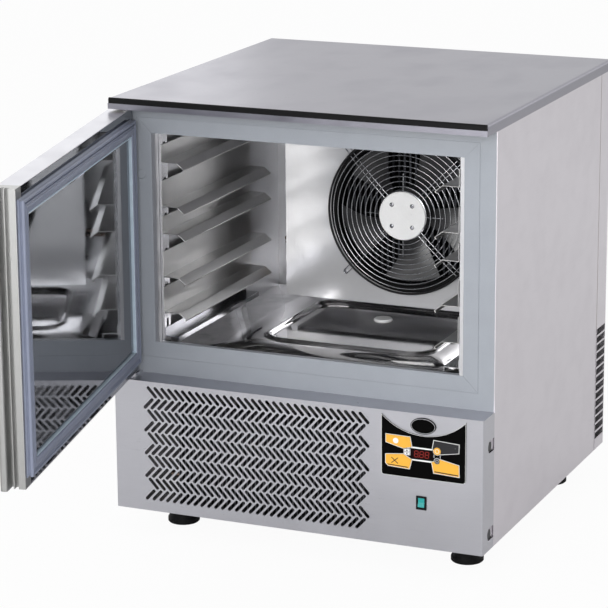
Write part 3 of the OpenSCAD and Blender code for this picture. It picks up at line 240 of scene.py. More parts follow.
finishes = {
    "frontSteel": brushedSteel("front_steel", (0.55, 0.55, 0.59), (30, 30, 0.6)),
    "sideSteel": brightSteel("side_steel", (0.74, 0.71, 0.75), 0.32, wave=0.00002),
    "topSteel": brushedSteel("top_steel", (0.32, 0.315, 0.36), (40, 0.7, 40)),
    "rackSteel": brushedSteel("rack_steel", (0.56, 0.56, 0.58), (20, 20, 0.6), 0.14, depth=0.00001),
    "slideSteel": brightSteel("slide_steel", (0.62, 0.615, 0.61), 0.30, wave=0.00003),
    "handleSteel": brightSteel("handle_steel", (0.39, 0.39, 0.385), 0.31, wave=0.00003),
    "brightSteel": brightSteel("bright_steel", (0.66, 0.66, 0.68), 0.16),
    "panelSteel": brightSteel("panel_steel", (0.80, 0.80, 0.82), 0.17, wave=0.00002, metal=0.5),
    "linerSteel": brightSteel("liner_steel", (0.60, 0.60, 0.62), 0.30, wave=0.00005, metal=0.85),
    "mirrorSteel": brightSteel("mirror_steel", (0.76, 0.75, 0.75), 0.06, wave=0.00003),
    "doorMirror": brightSteel("door_mirror", (0.17, 0.18, 0.20), 0.03, wave=0.00008),
    "breakerGrey": mouldedPlastic("breaker_grey", (0.295, 0.315, 0.35), 0.4, 2.5, 0.00002),
    "blackPlastic": mouldedPlastic("black_plastic", (0.003, 0.003, 0.0035), 0.5, 1.2, 0.00004, specular=0.15),
    "bladeBlack": mouldedPlastic("blade_black", (0.035, 0.035, 0.038), 0.3, 3.0, 0.00004, specular=0.8),
    "whitePlastic": mouldedPlastic("white_plastic", (0.92, 0.92, 0.92), 0.3, 2.0, 0.00002, coat=0.3),
    "blackEnamel": paintedMetal("black_enamel", (0.012, 0.012, 0.013)),
    "guardWire": brushedSteel("guard_wire", (0.50, 0.51, 0.53), (3, 3, 3), 0.15),
    "zincSheet": galvanisedSheet("zinc_sheet", (0.55, 0.56, 0.58)),
    "foam": foamBlock("rigid_foam", (0.62, 0.57, 0.44)),
    # painted shade: the evaporator coil's aluminium fins are coloured near-black to stand in for the dark
    # housing behind the fan
    "finsInPaintedShade": brushedSteel("fin_aluminium_painted_shade", (0.07, 0.072, 0.08), (4, 4, 4), 0.4),
    "darkFins": brushedSteel("dark_fins", (0.10, 0.10, 0.11), (4, 4, 4), 0.45),
    "copper": copperTube("copper_tube", (0.22, 0.16, 0.13)),
    "chromeScrew": brightSteel("chrome_screw", (0.40, 0.40, 0.42), 0.16),
    "darkScrew": paintedMetal("dark_screw", (0.03, 0.03, 0.033), 0.4),
    "sealRubber": rubberSeal("seal_rubber", (0.17, 0.19, 0.26)),
    # painted highlight: a lighter copy of the seal rubber that stands in for the bright edge of the gasket's
    # lip
    "sealLipHighlight": rubberSeal("seal_lip_painted_highlight", (0.50, 0.60, 0.70)),
    "filmBlack": printedFilm("film_black", (0.0008, 0.0008, 0.0008), 0.5, coat=0.0, specular=0.04),
    "keyAmber": printedFilm("key_amber", (0.80, 0.42, 0.055), 0.35, coat=0.0, specular=0.2),
    "keyDark": printedFilm("key_dark", (0.022, 0.022, 0.024), 0.4, coat=0.0, specular=0.2),
    "keyGrey": printedFilm("key_grey", (0.07, 0.07, 0.075), 0.4, coat=0.0, specular=0.2),
    "printWhite": printedFilm("print_white", (0.80, 0.80, 0.80)),
    "printSilver": printedFilm("print_silver", (0.42, 0.42, 0.44)),
    "windowRed": printedFilm("window_red", (0.006, 0.002, 0.002), coat=0.0, specular=0.06),
    "digitRed": printedFilm("digit_red", (0.20, 0.02, 0.016), coat=0.0, specular=0.1, glow=0.25),
    "boardGreen": circuitBoard("board_green", (0.03, 0.16, 0.07)),
    "rockerTeal": printedFilm("rocker_teal", (0.008, 0.28, 0.27), 0.2, glow=0.08),
}
print("finishes made:", len(finishes))

dressing = {
    "topSteel": ["worktop"],
    "blackPlastic": ["worktop_trim", "levelling_feet", "cable_gland", "fan_shroud", "switch_bezel"],
    "sideSteel": ["side_panel_left", "side_panel_right", "rear_cover"],
    "frontSteel": ["lower_panel", "door_skin", "door_handle"],
    "zincSheet": ["base_tray", "condenser_shroud"],
    "foam": ["insulation", "door_core", "worktop_board"],
    "linerSteel": ["chamber_liner"],
    "mirrorSteel": ["chamber_floor"],
    "doorMirror": ["door_inner_panel"],
    "breakerGrey": ["breaker_frame", "door_sensor_cap"],
    "panelSteel": ["evaporator_panel"],
    "brightSteel": ["drip_tray", "hinge_plate_top", "hinge_plate_bottom"],
    "finsInPaintedShade": ["evaporator_coil"],
    "darkFins": ["condenser_coil", "condenser_blades"],
    "guardWire": ["fan_guard"],
    "whitePlastic": ["guard_disc", "drain_plug", "hinge_bushes"],
    "chromeScrew": ["guard_screws"],
    "darkScrew": ["panel_screws"],
    "blackEnamel": ["fan_motor", "compressor", "condenser_motor", "liquid_receiver"],
    "rackSteel": ["rack_uprights", "rack_rails"],
    "slideSteel": ["tray_slides_left", "tray_slides_right"],
    "filmBlack": ["control_overlay", "oval_plate"],
    "windowRed": ["display_window"],
    "boardGreen": ["control_board"],
    "copper": ["refrigerant_pipes", "filter_drier"],
    "sealRubber": ["door_gasket"],
    "bladeBlack": ["fan_blades"],
    "rockerTeal": ["rocker"],
    "keyAmber": ["key_start", "key_mode", "key_menu", "key_round_upper"],
    "keyDark": ["key_print"],
    "keyGrey": ["key_round_lower"],
    "printWhite": ["key_up", "key_down"],
}
for finish, names in dressing.items():
    for name in names:
        mesh = nodes[name].data
        mesh.materials.clear()
        mesh.materials.append(finishes[finish])
        for face in mesh.polygons:
            face.material_index = 0
print("nodes dressed")


# mesh helpers
def addPiece(name, points, faces, finish, body, smooth=False, sharp=()):  # points in millimetres
    mesh = bpy.data.meshes.new(name)
    mesh.from_pydata([Vector(p) / 1000 for p in points], [], faces)
    for edge in mesh.edges:
        if tuple(sorted(edge.vertices)) in sharp:
            edge.use_edge_sharp = True
    weldFaces(mesh, smooth)
    return placePiece(name, mesh, finish, body)


def weldFaces(mesh, smooth=False):  # joins doubled points and turns every face outwards
    shell = bmesh.new()
    shell.from_mesh(mesh)
    bmesh.ops.remove_doubles(shell, verts=shell.verts, dist=0.0000001)
    bmesh.ops.recalc_face_normals(shell, faces=shell.faces)
    for face in shell.faces:
        face.smooth = smooth
    shell.to_mesh(mesh)
    shell.free()


def placePiece(name, mesh, finish, body):
    mesh.materials.clear()
    mesh.materials.append(finishes[finish])
    piece = bpy.data.objects.new(name, mesh)
    bpy.context.collection.objects.link(piece)
    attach(piece, body)
    return piece


def sweep(rings, closed):  # faces between rings of equal length; closed joins the last ring to the first
    count = len(rings[0])
    points = [p for ring in rings for p in ring]
    faces = []
    for r in range(len(rings) if closed else len(rings) - 1):
        a, b = r * count, ((r + 1) % len(rings)) * count
        faces += [(a + i, a + (i + 1) % count, b + (i + 1) % count, b + i) for i in range(count)]
    return points, faces


def rounder(points, times, closed=False):  # cuts the corners of a line again and again
    for _ in range(times):
        pairs = list(zip(points, points[1:] + points[:1])) if closed else list(zip(points, points[1:]))
        cut = []
        for (a, b), (c, d) in pairs:
            cut += [(0.75 * a + 0.25 * c, 0.75 * b + 0.25 * d), (0.25 * a + 0.75 * c, 0.25 * b + 0.75 * d)]
        points = cut if closed else [points[0]] + cut + [points[-1]]
    return points


def jointNamed(name):  # a joint of the frame, and its place in millimetres
    joint = next(joint for joint in frame["joints"] if joint["name"] == name)
    return joint, Vector([v * 1000 for v in joint["pos_m"]])


def boxOf(node):  # a node's lowest and highest corner in millimetres
    return [Vector([round(v * 1000, 3) for v in corner]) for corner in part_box(node)]


hinge, hingeLine = jointNamed("door_hinge")
doorTurn = Matrix.Rotation(math.radians(hinge["range_deg"][0]), 4, "Z")  # from shut to the frame's open door


def onDoor(point):  # from the shut door's millimetres to the open door's
    return hingeLine + doorTurn @ (Vector(point) - hingeLine)


# geometry trees
class Tree:  # a geometry node tree with named inputs
    def __init__(self, name, inputs):
        self.tree = bpy.data.node_groups.new(name, "GeometryNodeTree")
        face = self.tree.interface
        face.new_socket("Geometry", in_out="INPUT", socket_type="NodeSocketGeometry")
        for label, kind in inputs:
            face.new_socket(label, in_out="INPUT", socket_type="NodeSocket" + kind)
        face.new_socket("Geometry", in_out="OUTPUT", socket_type="NodeSocketGeometry")
        self.start = self.tree.nodes.new("NodeGroupInput")
        self.end = self.tree.nodes.new("NodeGroupOutput")

    def given(self, label):
        return self.start.outputs[label]

    def add(self, kind, settings, inputs, output=0):
        node = self.tree.nodes.new(kind)
        for key, value in settings.items():
            setattr(node, key, value)
        for key, value in inputs.items():
            socket = node.inputs[key]
            if isinstance(value, bpy.types.NodeSocket):
                self.tree.links.new(value, socket)
            elif isinstance(value, list):
                for one in value:
                    self.tree.links.new(one, socket)
            else:
                socket.default_value = value
        return node.outputs[output]

    def calc(self, operation, first, second):
        return self.add("ShaderNodeMath", {"operation": operation}, {0: first, 1: second})

    def stack(self, count):  # points on top of each other, one for each repeat
        still = (0.0, 0.0, 0.0)
        line = self.add("GeometryNodeMeshLine", {"mode": "OFFSET"}, {"Count": count, "Offset": still})
        return self.add("GeometryNodeMeshToPoints", {}, {"Mesh": line})

    def stand(self, shape):  # from flat to upright on the fan panel, its first spoke or screw on the diagonal
        upright = (math.pi / 2, math.pi / 4, 0.0)
        return self.add("GeometryNodeTransform", {}, {
            "Geometry": shape, "Translation": self.given("Centre"), "Rotation": upright})

    def finish(self, shape):
        real = self.add("GeometryNodeRealizeInstances", {}, {"Geometry": shape})
        done = self.add("GeometryNodeSetMaterial", {}, {"Geometry": real, "Material": self.given("Material")})
        self.tree.links.new(done, self.end.inputs["Geometry"])

    def grow(self, name, seed, values, finish, body, slot):  # runs the tree on a seed and keeps a plain mesh
        holder = bpy.data.objects.new(name + "Seed", seed)
        bpy.context.collection.objects.link(holder)
        modifier = holder.modifiers.new("grow", "NODES")
        modifier.node_group = self.tree
        for item in self.tree.interface.items_tree:
            if item.in_out == "INPUT" and item.name in values:
                modifier[item.identifier] = values[item.name]
            if item.in_out == "INPUT" and item.name == "Material":
                modifier[item.identifier] = finishes[finish]
        holder.update_tag()
        grown = holder.evaluated_get(bpy.context.evaluated_depsgraph_get())
        mesh = bpy.data.meshes.new_from_object(grown)
        mesh.name = name
        bpy.data.objects.remove(holder)
        return placePiece(name, mesh, finish, body)


# fan guard: rings and looped wires
fanHub = jointNamed("evaporator_fan_spin")[1]
panelFace = boxOf("evaporator_panel")[0].y
guard = {"centre": (fanHub.x, panelFace, fanHub.z), "rings": 11, "firstRadius": 58.5, "pitch": 10.3,
         "ringSteps": 112, "wire": 1.0, "wireSteps": 8, "hub": 49.5, "stand": 20,
         "drop": 11, "dome": 2.2,  # how far and how late the rings fall towards the panel
         "wiresUnder": 2.3, "wirePoints": 12, "loopHalf": 4.5, "loopSteps": 8,
         "shortWire": (49.5, 62, 73, 84),  # radii
         "foot": [(165.5, 5.2), (176.5, 2.6), (182.5, 2.2)],  # radius and height on a wire's way to the panel
         "rimWire": 2.3, "rimSteps": 128, "hubSteps": 96,
         "hubPlate": [(12, -20), (50.2, -20), (50.5, -19.6), (50.5, -19), (12, -18.8)]}
outerRadius = guard["firstRadius"] + guard["pitch"] * (guard["rings"] - 1)


def domeAt(r):  # how far a ring of radius r stands off the panel
    reach = max(r - guard["hub"], 0) / (outerRadius - guard["hub"])
    return guard["stand"] - guard["drop"] * reach ** guard["dome"]


def wireSeed():  # one looped main wire and one short wire, as edges: X out from the hub, Z off the panel
    half, count, turns = guard["loopHalf"], guard["wirePoints"], guard["loopSteps"]
    radii = [guard["hub"] + (outerRadius - guard["hub"]) * i / count for i in range(count + 1)]
    side = [(r, domeAt(r) - guard["wiresUnder"]) for r in radii] + guard["foot"]
    end, low = side[-1]
    loop = [(r, half, h) for r, h in side]
    loop += [(end + half * math.sin(a), half * math.cos(a), low)
             for a in [math.pi * k / turns for k in range(1, turns)]]
    loop += [(r, -half, h) for r, h in reversed(side)]
    short = [(r, 0, domeAt(r) - guard["wiresUnder"]) for r in guard["shortWire"]]
    aside = Matrix.Rotation(math.pi / 4, 3, "Z")
    points = [Vector(p) / 1000 for p in loop] + [aside @ Vector(p) / 1000 for p in short]
    edges = [(i, i + 1) for i in range(len(points) - 1) if i + 1 != len(loop)]
    mesh = bpy.data.meshes.new("wireSeed")
    mesh.from_pydata(points, edges, [])
    return mesh


def guardTree():
    t = Tree("guardWires", [("Rings", "Int"), ("First Radius", "Float"), ("Pitch", "Float"),
                            ("Wire Radius", "Float"), ("Hub Radius", "Float"), ("Stand", "Float"),
                            ("Drop", "Float"), ("Centre", "Vector"), ("Material", "Material")])
    rings, first, pitch, hub = (t.given(label) for label in ("Rings", "First Radius", "Pitch", "Hub Radius"))
    index = t.add("GeometryNodeInputIndex", {}, {})
    inner = t.calc("SUBTRACT", rings, 1.0)  # the outermost ring is a thicker piece of its own
    radius = t.calc("ADD", first, t.calc("MULTIPLY", index, pitch))
    outer = t.calc("ADD", first, t.calc("MULTIPLY", inner, pitch))
    reach = t.calc("DIVIDE", t.calc("SUBTRACT", radius, hub), t.calc("SUBTRACT", outer, hub))
    fall = t.calc("MULTIPLY", t.given("Drop"), t.calc("POWER", reach, guard["dome"]))
    height = t.calc("SUBTRACT", t.given("Stand"), fall)
    lift = t.add("ShaderNodeCombineXYZ", {}, {"Z": height})
    lifted = t.add("GeometryNodeSetPosition", {}, {"Geometry": t.stack(inner), "Offset": lift})
    circle = t.add("GeometryNodeCurvePrimitiveCircle", {"mode": "RADIUS"}, {
        "Resolution": guard["ringSteps"], "Radius": 1.0})
    size = t.add("ShaderNodeCombineXYZ", {}, {"X": radius, "Y": radius, "Z": 1.0})
    hoops = t.add("GeometryNodeInstanceOnPoints", {}, {"Points": lifted, "Instance": circle, "Scale": size})
    hoops = t.add("GeometryNodeRealizeInstances", {}, {"Geometry": hoops})
    spin = t.add("ShaderNodeCombineXYZ", {}, {"Z": t.calc("MULTIPLY", index, math.pi / 2)})
    turned = t.add("GeometryNodeInstanceOnPoints", {}, {
        "Points": t.stack(4), "Instance": t.given("Geometry"), "Rotation": spin})
    turned = t.add("GeometryNodeRealizeInstances", {}, {"Geometry": turned})
    loops = t.add("GeometryNodeMeshToCurve", {}, {"Mesh": turned})
    wires = t.add("GeometryNodeJoinGeometry", {}, {"Geometry": [hoops, loops]})
    profile = t.add("GeometryNodeCurvePrimitiveCircle", {"mode": "RADIUS"}, {
        "Resolution": guard["wireSteps"], "Radius": t.given("Wire Radius")})
    swept = t.add("GeometryNodeCurveToMesh", {}, {
        "Curve": wires, "Profile Curve": profile, "Fill Caps": True})
    t.finish(t.stand(t.add("GeometryNodeSetShadeSmooth", {}, {"Geometry": swept})))
    return t


wires = guardTree().grow("fanGuardWires", wireSeed(), {
    "Rings": guard["rings"], "First Radius": guard["firstRadius"] / 1000, "Pitch": guard["pitch"] / 1000,
    "Wire Radius": guard["wire"] / 1000, "Hub Radius": guard["hub"] / 1000, "Stand": guard["stand"] / 1000,
    "Drop": guard["drop"] / 1000, "Centre": tuple(v / 1000 for v in guard["centre"])},
    "guardWire", "cabinet", "black_paint")
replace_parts(wires, "fan_guard")


def turnedPiece(name, profile, steps, finish):  # a closed profile of (radius, y) turned about the fan's axis
    x, y, z = guard["centre"]
    rings = [[(x + r * math.cos(a), y + h, z + r * math.sin(a)) for r, h in profile]
             for a in [2 * math.pi * k / steps for k in range(steps)]]
    points, faces = sweep(rings, True)
    return addPiece(name, points, faces, finish, "cabinet", True)


turnedPiece("guardHubPlate", guard["hubPlate"], guard["hubSteps"], "guardWire")
rimWire, rimHeight = guard["rimWire"], domeAt(outerRadius)
rimSection = [(outerRadius + rimWire * math.cos(a), rimWire * math.sin(a) - rimHeight)
              for a in [math.pi * k / 6 for k in range(12)]]
turnedPiece("guardRim", rimSection, guard["rimSteps"], "blackEnamel")
print("fan guard made:", len(wires.data.polygons), "faces")

# chamber floor: one pressed sheet with a bead, a basin and a drain
sheetBox = boxOf("chamber_floor")
plugBox = boxOf("drain_plug")
floorPan = {"x": sheetBox[1].x, "y0": sheetBox[0].y, "y1": sheetBox[1].y,
            "level": sheetBox[1].z - 5,  # the bead is the sheet's highest place
            "basin": (336, 300, 40), "basinY": 22, "gauge": 1.2, "cornerSteps": 12, "sideSteps": 6,
            # bead: distance out from the basin's edge, and rise
            "bead": [(22, 0), (17, 0), (16, 0), (12.5, 0.5), (11, 1.8), (9.4, 3.7), (7.4, 4.7), (5.4, 5.0),
                     (3.6, 4.6), (2.0, 3.2), (0.6, 1.0), (-0.6, -0.9), (-2.0, -2.2), (-4.4, -2.9),
                     (-8.0, -3.1), (-11, -3.15), (-12, -3.17), (-14, -3.2)],
            # slope: share of the way to the drain, and rise
            "slope": [(0.02, -3.21), (0.35, -3.25), (0.7, -3.4), (0.97, -3.9)],
            "drain": ((plugBox[0].x + plugBox[1].x) / 2, (plugBox[0].y + plugBox[1].y) / 2),
            "drainRadius": 15, "slopeStop": 5, "drainEnd": 288.5,
            # funnel: distance beyond the drain's radius, and rise
            "funnel": [(6, -4.0), (5, -4.05), (2.4, -4.6), (0.8, -6.2), (0, -9.5)]}


def basinOutline(grow):  # the basin's rounded rectangle, larger by grow, with each point's corner and step
    wide, deep, r = floorPan["basin"]
    halfX, halfY = wide / 2 - r, deep / 2 - r
    steps, sides = floorPan["cornerSteps"], floorPan["sideSteps"]
    arcs = []
    for k, (sx, sy) in enumerate([(1, 1), (-1, 1), (-1, -1), (1, -1)]):
        for i in range(steps + 1):
            a = math.pi / 2 * (k + i / steps)
            arcs.append((sx * halfX + (r + grow) * math.cos(a), sy * halfY + (r + grow) * math.sin(a), k, i))
    outline = []
    for n, (x, y, k, i) in enumerate(arcs):
        outline.append((x, y, k, i))
        if i == steps:  # the straight run to the next corner
            nextX, nextY = arcs[(n + 1) % len(arcs)][:2]
            outline += [(x + (nextX - x) * step / sides, y + (nextY - y) * step / sides, k, None)
                        for step in range(1, sides)]
    return outline


def sheetEdge():  # the same number of points along the floor's own rectangle
    x1, y0, y1 = floorPan["x"], floorPan["y0"] - floorPan["basinY"], floorPan["y1"] - floorPan["basinY"]
    corners = [(x1, y1), (-x1, y1), (-x1, y0), (x1, y0)]
    steps, sides = floorPan["cornerSteps"], floorPan["sideSteps"]
    outline = basinOutline(floorPan["bead"][0][0])
    edge = []
    for x, y, k, i in outline:
        cornerX, cornerY = corners[k]
        if i is None:
            edge.append((x, cornerY) if k % 2 == 0 else (cornerX, y))
            continue
        start, end = outline[k * (steps + sides)], outline[k * (steps + sides) + steps]
        ax, ay = (cornerX, start[1]) if k % 2 == 0 else (start[0], cornerY)
        bx, by = (end[0], cornerY) if k % 2 == 0 else (cornerX, end[1])
        share = 2 * i / steps
        edge.append((ax + (cornerX - ax) * share, ay + (cornerY - ay) * share) if share <= 1 else
                    (cornerX + (bx - cornerX) * (share - 1), cornerY + (by - cornerY) * (share - 1)))
    return edge


def pressFloor():
    level, cy = floorPan["level"], floorPan["basinY"]
    rings = [[(x, y + cy, level) for x, y in sheetEdge()]]
    for grow, rise in floorPan["bead"]:
        rings.append([(x, y + cy, level + rise) for x, y, k, i in basinOutline(grow)])
    drain, radius, inner = floorPan["drain"], floorPan["drainRadius"], rings[-1]
    for mix, rise in floorPan["slope"]:
        rings.append([ringMix(p, drain, radius + floorPan["slopeStop"], mix, level + rise) for p in inner])
    for wider, rise in floorPan["funnel"]:
        rings.append([ringMix(p, drain, radius + wider, 1, level + rise) for p in inner])
    rings.append([(x, y, floorPan["drainEnd"]) for x, y, z in rings[-1]])
    points, faces = sweep(rings, False)
    pan = addPiece("chamberPan", points, faces, "mirrorSteel", "cabinet", True)
    if sum(face.normal.z * face.area for face in pan.data.polygons) < 0:
        pan.data.flip_normals()
    wall = pan.modifiers.new("gauge", "SOLIDIFY")
    wall.thickness = floorPan["gauge"] / 1000
    wall.offset = -1
    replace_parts(pan, "chamber_floor")


def ringMix(point, centre, radius, mix, z):  # from a point of the basin's outline towards a circle
    x, y = point[:2]
    away = Vector((x - centre[0], y - centre[1])).normalized() * radius
    return (x + (centre[0] + away.x - x) * mix, y + (centre[1] + away.y - y) * mix, z)


pressFloor()
print("chamber floor pressed")

# door gasket: one soft profile round the door
seal = {"x": (-352, 351), "z": (330.5, 805.5), "base": -327.5,  # the shut door's rectangle and face
        "profile": [(0, 0), (0, 2.4), (2.2, 3.8), (3.4, 5.0), (1.2, 6.4), (0.8, 9.0), (2.0, 11.6),
                    (4.4, 12.2), (6.8, 11.4), (7.6, 8.6), (8.8, 8.4), (9.2, 11.6), (11.0, 12.0),
                    (11.8, 10.0), (13.2, 10.0), (14.0, 12.0), (23.4, 12.0), (26.2, 10.2), (26.2, 6.6),
                    (23.2, 5.4), (23.2, 3.6), (26.8, 2.4), (27, 0)],
        "lip": [(25.6, 6.2), (26.6, 6.6), (28.4, 9.6), (29.2, 9.9), (29.6, 9.2), (28.6, 6.4), (28.2, 0),
                (27.1, 0), (26.9, 2.2), (25.6, 5.2)]}


def mouldSeal(section, name, finish):
    (x0, x1), (z0, z1), y = seal["x"], seal["z"], seal["base"]
    rings = [[onDoor((cx + sx * u, y + h, cz + sz * u)) for u, h in section]
             for cx, cz, sx, sz in ((x0, z0, 1, 1), (x1, z0, -1, 1), (x1, z1, -1, -1), (x0, z1, 1, -1))]
    points, faces = sweep(rings, True)
    count = len(section)
    mitres = {(r * count + i, r * count + i + 1) for r in range(4) for i in range(count - 1)}
    mitres |= {(r * count, r * count + count - 1) for r in range(4)}
    return addPiece(name, points, faces, finish, "door", True, mitres)


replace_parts(mouldSeal(rounder(seal["profile"], 2), "sealProfile", "sealRubber"), "door_gasket")
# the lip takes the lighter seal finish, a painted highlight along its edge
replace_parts(mouldSeal(rounder(seal["lip"], 1, True), "sealLip", "sealLipHighlight"), "door_gasket")
print("door seal moulded")

# fan rotor and folded sheets: the same parts with smooth blades and softened folds
folds = {"merge": 0.01, "bladeAngle": 50, "flatAngle": 0.5, "bendAngle": 28, "steps": 2,
         "slideRadius": 0.45, "handleRadius": 0.8}


def mergedCopy(node, name):  # a copy of a node's mesh, and its shape with doubled points joined
    mesh = nodes[node].data.copy()
    mesh.name = name
    shape = bmesh.new()
    shape.from_mesh(mesh)
    bmesh.ops.remove_doubles(shape, verts=shape.verts, dist=folds["merge"] / 1000)
    return mesh, shape


def smoothBlades(node, name, finish, body):
    mesh, shape = mergedCopy(node, name)
    crease = math.radians(folds["bladeAngle"])
    for face in shape.faces:
        face.smooth = True
    for edge in shape.edges:
        edge.smooth = len(edge.link_faces) == 2 and edge.calc_face_angle(math.pi) < crease
    shape.to_mesh(mesh)
    shape.free()
    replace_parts(placePiece(name, mesh, finish, body), node)


def softenFolds(node, name, finish, body, radius):
    mesh, shape = mergedCopy(node, name)
    flat = math.radians(folds["flatAngle"])
    bmesh.ops.dissolve_limit(shape, angle_limit=flat, verts=shape.verts, edges=shape.edges)
    for face in shape.faces:
        face.smooth = False
    shape.to_mesh(mesh)
    shape.free()
    piece = placePiece(name, mesh, finish, body)
    bevel = piece.modifiers.new("fold", "BEVEL")
    bevel.width = radius / 1000
    bevel.segments = folds["steps"]
    bevel.limit_method = "ANGLE"
    bevel.angle_limit = math.radians(folds["bendAngle"])
    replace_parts(piece, node)


smoothBlades("fan_blades", "fanRotor", "bladeBlack", "evaporator_fan")
print("fan rotor smoothed")
softenFolds("tray_slides_left", "slidesLeft", "slideSteel", "cabinet", folds["slideRadius"])
softenFolds("tray_slides_right", "slidesRight", "slideSteel", "cabinet", folds["slideRadius"])
softenFolds("door_handle", "handleProfile", "handleSteel", "door", folds["handleRadius"])
print("folded sheets softened")


# screws: pan heads with a cross recess
discFace = boxOf("guard_disc")[0].y
footReach = guard["foot"][-1][0]
screws = {"disc": {"face": discFace, "reach": 30.41, "radius": 4.4, "height": 2.0, "shank": 11},
          "foot": {"face": panelFace - 4, "reach": footReach, "radius": 3.2, "height": 1.7, "shank": 8},
          "count": 4, "core": 2.3, "steps": 28, "seed": 7,
          # shares of the head's radius and height: its domed side, then the cross's reach, half, low and high
          "head": [(1, 0.45), (0.93, 0.72), (0.78, 0.9), (0.5, 1), (0, 1)], "cross": (0.62, 0.13, 0.35, 1.3)}


def screwSeed(size):  # one pan-headed screw, head up along Z
    r, h, deep, core = screws[size]["radius"], screws[size]["height"], screws[size]["shank"], screws["core"]
    profile = [(0, -deep), (core - 0.6, -deep), (core, -deep + 0.6), (core, 0), (r - 0.1, 0), (r, 0.15)]
    profile += [(r * across, h * up) for across, up in screws["head"]]
    angles = [2 * math.pi * k / screws["steps"] for k in range(screws["steps"])]
    rings = [[(p * math.cos(a), p * math.sin(a), z) for p, z in profile] for a in angles]
    blank = addSolid("blank", *sweep(rings, True))
    reach, half, low, high = screws["cross"]
    cross = addSolid("cross", *crossBar(r * reach, r * half, h * low, h * high))
    recess = blank.modifiers.new("recess", "BOOLEAN")
    recess.object = cross
    recess.operation = "DIFFERENCE"
    mesh = bpy.data.meshes.new_from_object(blank.evaluated_get(bpy.context.evaluated_depsgraph_get()))
    bpy.data.objects.remove(blank)
    bpy.data.objects.remove(cross)
    return mesh


def crossBar(reach, half, low, high):  # a cross-shaped prism
    flat = [(half, half), (half, reach), (-half, reach), (-half, half), (-reach, half), (-reach, -half),
            (-half, -half), (-half, -reach), (half, -reach), (half, -half), (reach, -half), (reach, half)]
    points = [(x, y, low) for x, y in flat] + [(x, y, high) for x, y in flat]
    faces = [tuple(range(11, -1, -1)), tuple(range(12, 24))]
    return points, faces + [(i, (i + 1) % 12, 12 + (i + 1) % 12, 12 + i) for i in range(12)]


def addSolid(name, points, faces):
    mesh = bpy.data.meshes.new(name)
    mesh.from_pydata([Vector(p) / 1000 for p in points], [], faces)
    weldFaces(mesh)
    solid = bpy.data.objects.new(name, mesh)
    bpy.context.collection.objects.link(solid)
    return solid


def screwTree():
    t = Tree("screwCircle", [("Count", "Int"), ("Reach", "Float"), ("Turn Seed", "Int"), ("Centre", "Vector"),
                             ("Material", "Material")])
    spots = t.add("GeometryNodeMeshCircle", {}, {"Vertices": t.given("Count"), "Radius": t.given("Reach")})
    spots = t.add("GeometryNodeMeshToPoints", {}, {"Mesh": spots})
    turn = t.add("FunctionNodeRandomValue", {"data_type": "FLOAT"},
                 {2: 0.0, 3: 6.28, "Seed": t.given("Turn Seed")}, 1)
    spin = t.add("ShaderNodeCombineXYZ", {}, {"Z": turn})
    placed = t.add("GeometryNodeInstanceOnPoints", {}, {
        "Points": spots, "Instance": t.given("Geometry"), "Rotation": spin})
    t.finish(t.stand(placed))
    return t


circle = screwTree()
for size in ("disc", "foot"):
    place = (guard["centre"][0] / 1000, screws[size]["face"] / 1000, guard["centre"][2] / 1000)
    made = circle.grow(size + "Screws", screwSeed(size), {
        "Count": screws["count"], "Reach": screws[size]["reach"] / 1000, "Turn Seed": screws["seed"],
        "Centre": place}, "chromeScrew", "cabinet", "chrome_screw")
    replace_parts(made, "guard_screws")
print("screws made")

# printed marks of the control overlay
overlayBox = boxOf("control_overlay")
controls = {"corner": ((overlayBox[0].x + overlayBox[1].x) / 2, overlayBox[0].z), "overlay": overlayBox[0].y,
            "plate": boxOf("oval_plate")[0].y, "key": boxOf("key_start")[0].y,
            "window": boxOf("display_window")[0].y,
            "film": 0.08, "sink": 0.01, "border": 0.7, "borderInset": 0.05, "mitre": 0.45,
            "halfWidth": (overlayBox[1].x - overlayBox[0].x) / 2,
            "archRadius": 117.09, "archTop": 200.09, "edgeCorner": 6}
# outlines in millimetres from the middle of the overlay's lower edge
keyShapes = {"key_start": [(-73, 78.5), (-26.5, 77.7), (-23, 60), (-39, 55.4), (-73, 64)],
             "key_mode": [(-73.5, 39.8), (-39, 43.7), (-23, 34.7), (-27.5, 17.2), (-69, 19), (-73.5, 23.5)],
             "key_menu": [(33, 41.3), (69, 34), (69.5, 12.8), (21, 15), (17, 34.7)],
             "key_print": [(21, 76.4), (69, 73.6), (68.5, 58), (33.5, 52), (18, 60)]}
keyOutline = (0.35, 1.35)  # from where to where the white line lies outside a key
roundKeys = {"upper": (27, 57, 7, 1.3), "lower": (27, 37.5, 5, 1.6)}  # x, z, radius, how far its ring reaches
windowBars = [[(-24, 57.4), (17.5, 57.4), (16.5, 60.0), (-23, 60.4)],
              [(-23.4, 34.0), (16.6, 33.6), (17.6, 36.6), (-24, 36.6)]]
columnBars = [(-38.2, 42.5, -38.2, 56.2, 1.4), (-25.8, 42.5, -25.8, 56.2, 1.4),
              (-38.9, 55.8, -25.1, 55.8, 1.6), (-37.5, 49.1, -26.5, 49.1, 1.0),
              (-38.9, 42.9, -25.1, 42.9, 1.0),
              (20.9, 43.8, 20.9, 50.0, 1.4), (33.1, 43.8, 33.1, 50.0, 1.4)]  # both ends and the width
ovalPlate = {"middle": (-0.5, 101.5), "radii": (24.75, 15.5), "steps": 72, "ring": (-2.1, -1.3)}
digit = {"width": 7.0, "height": 11.5, "stroke": 1.35, "gap": 0.25, "slant": 0.08, "pitch": 10.4,
         "middle": (-3.4, 47.0), "point": (-0.6, -5.6, 0.75)}
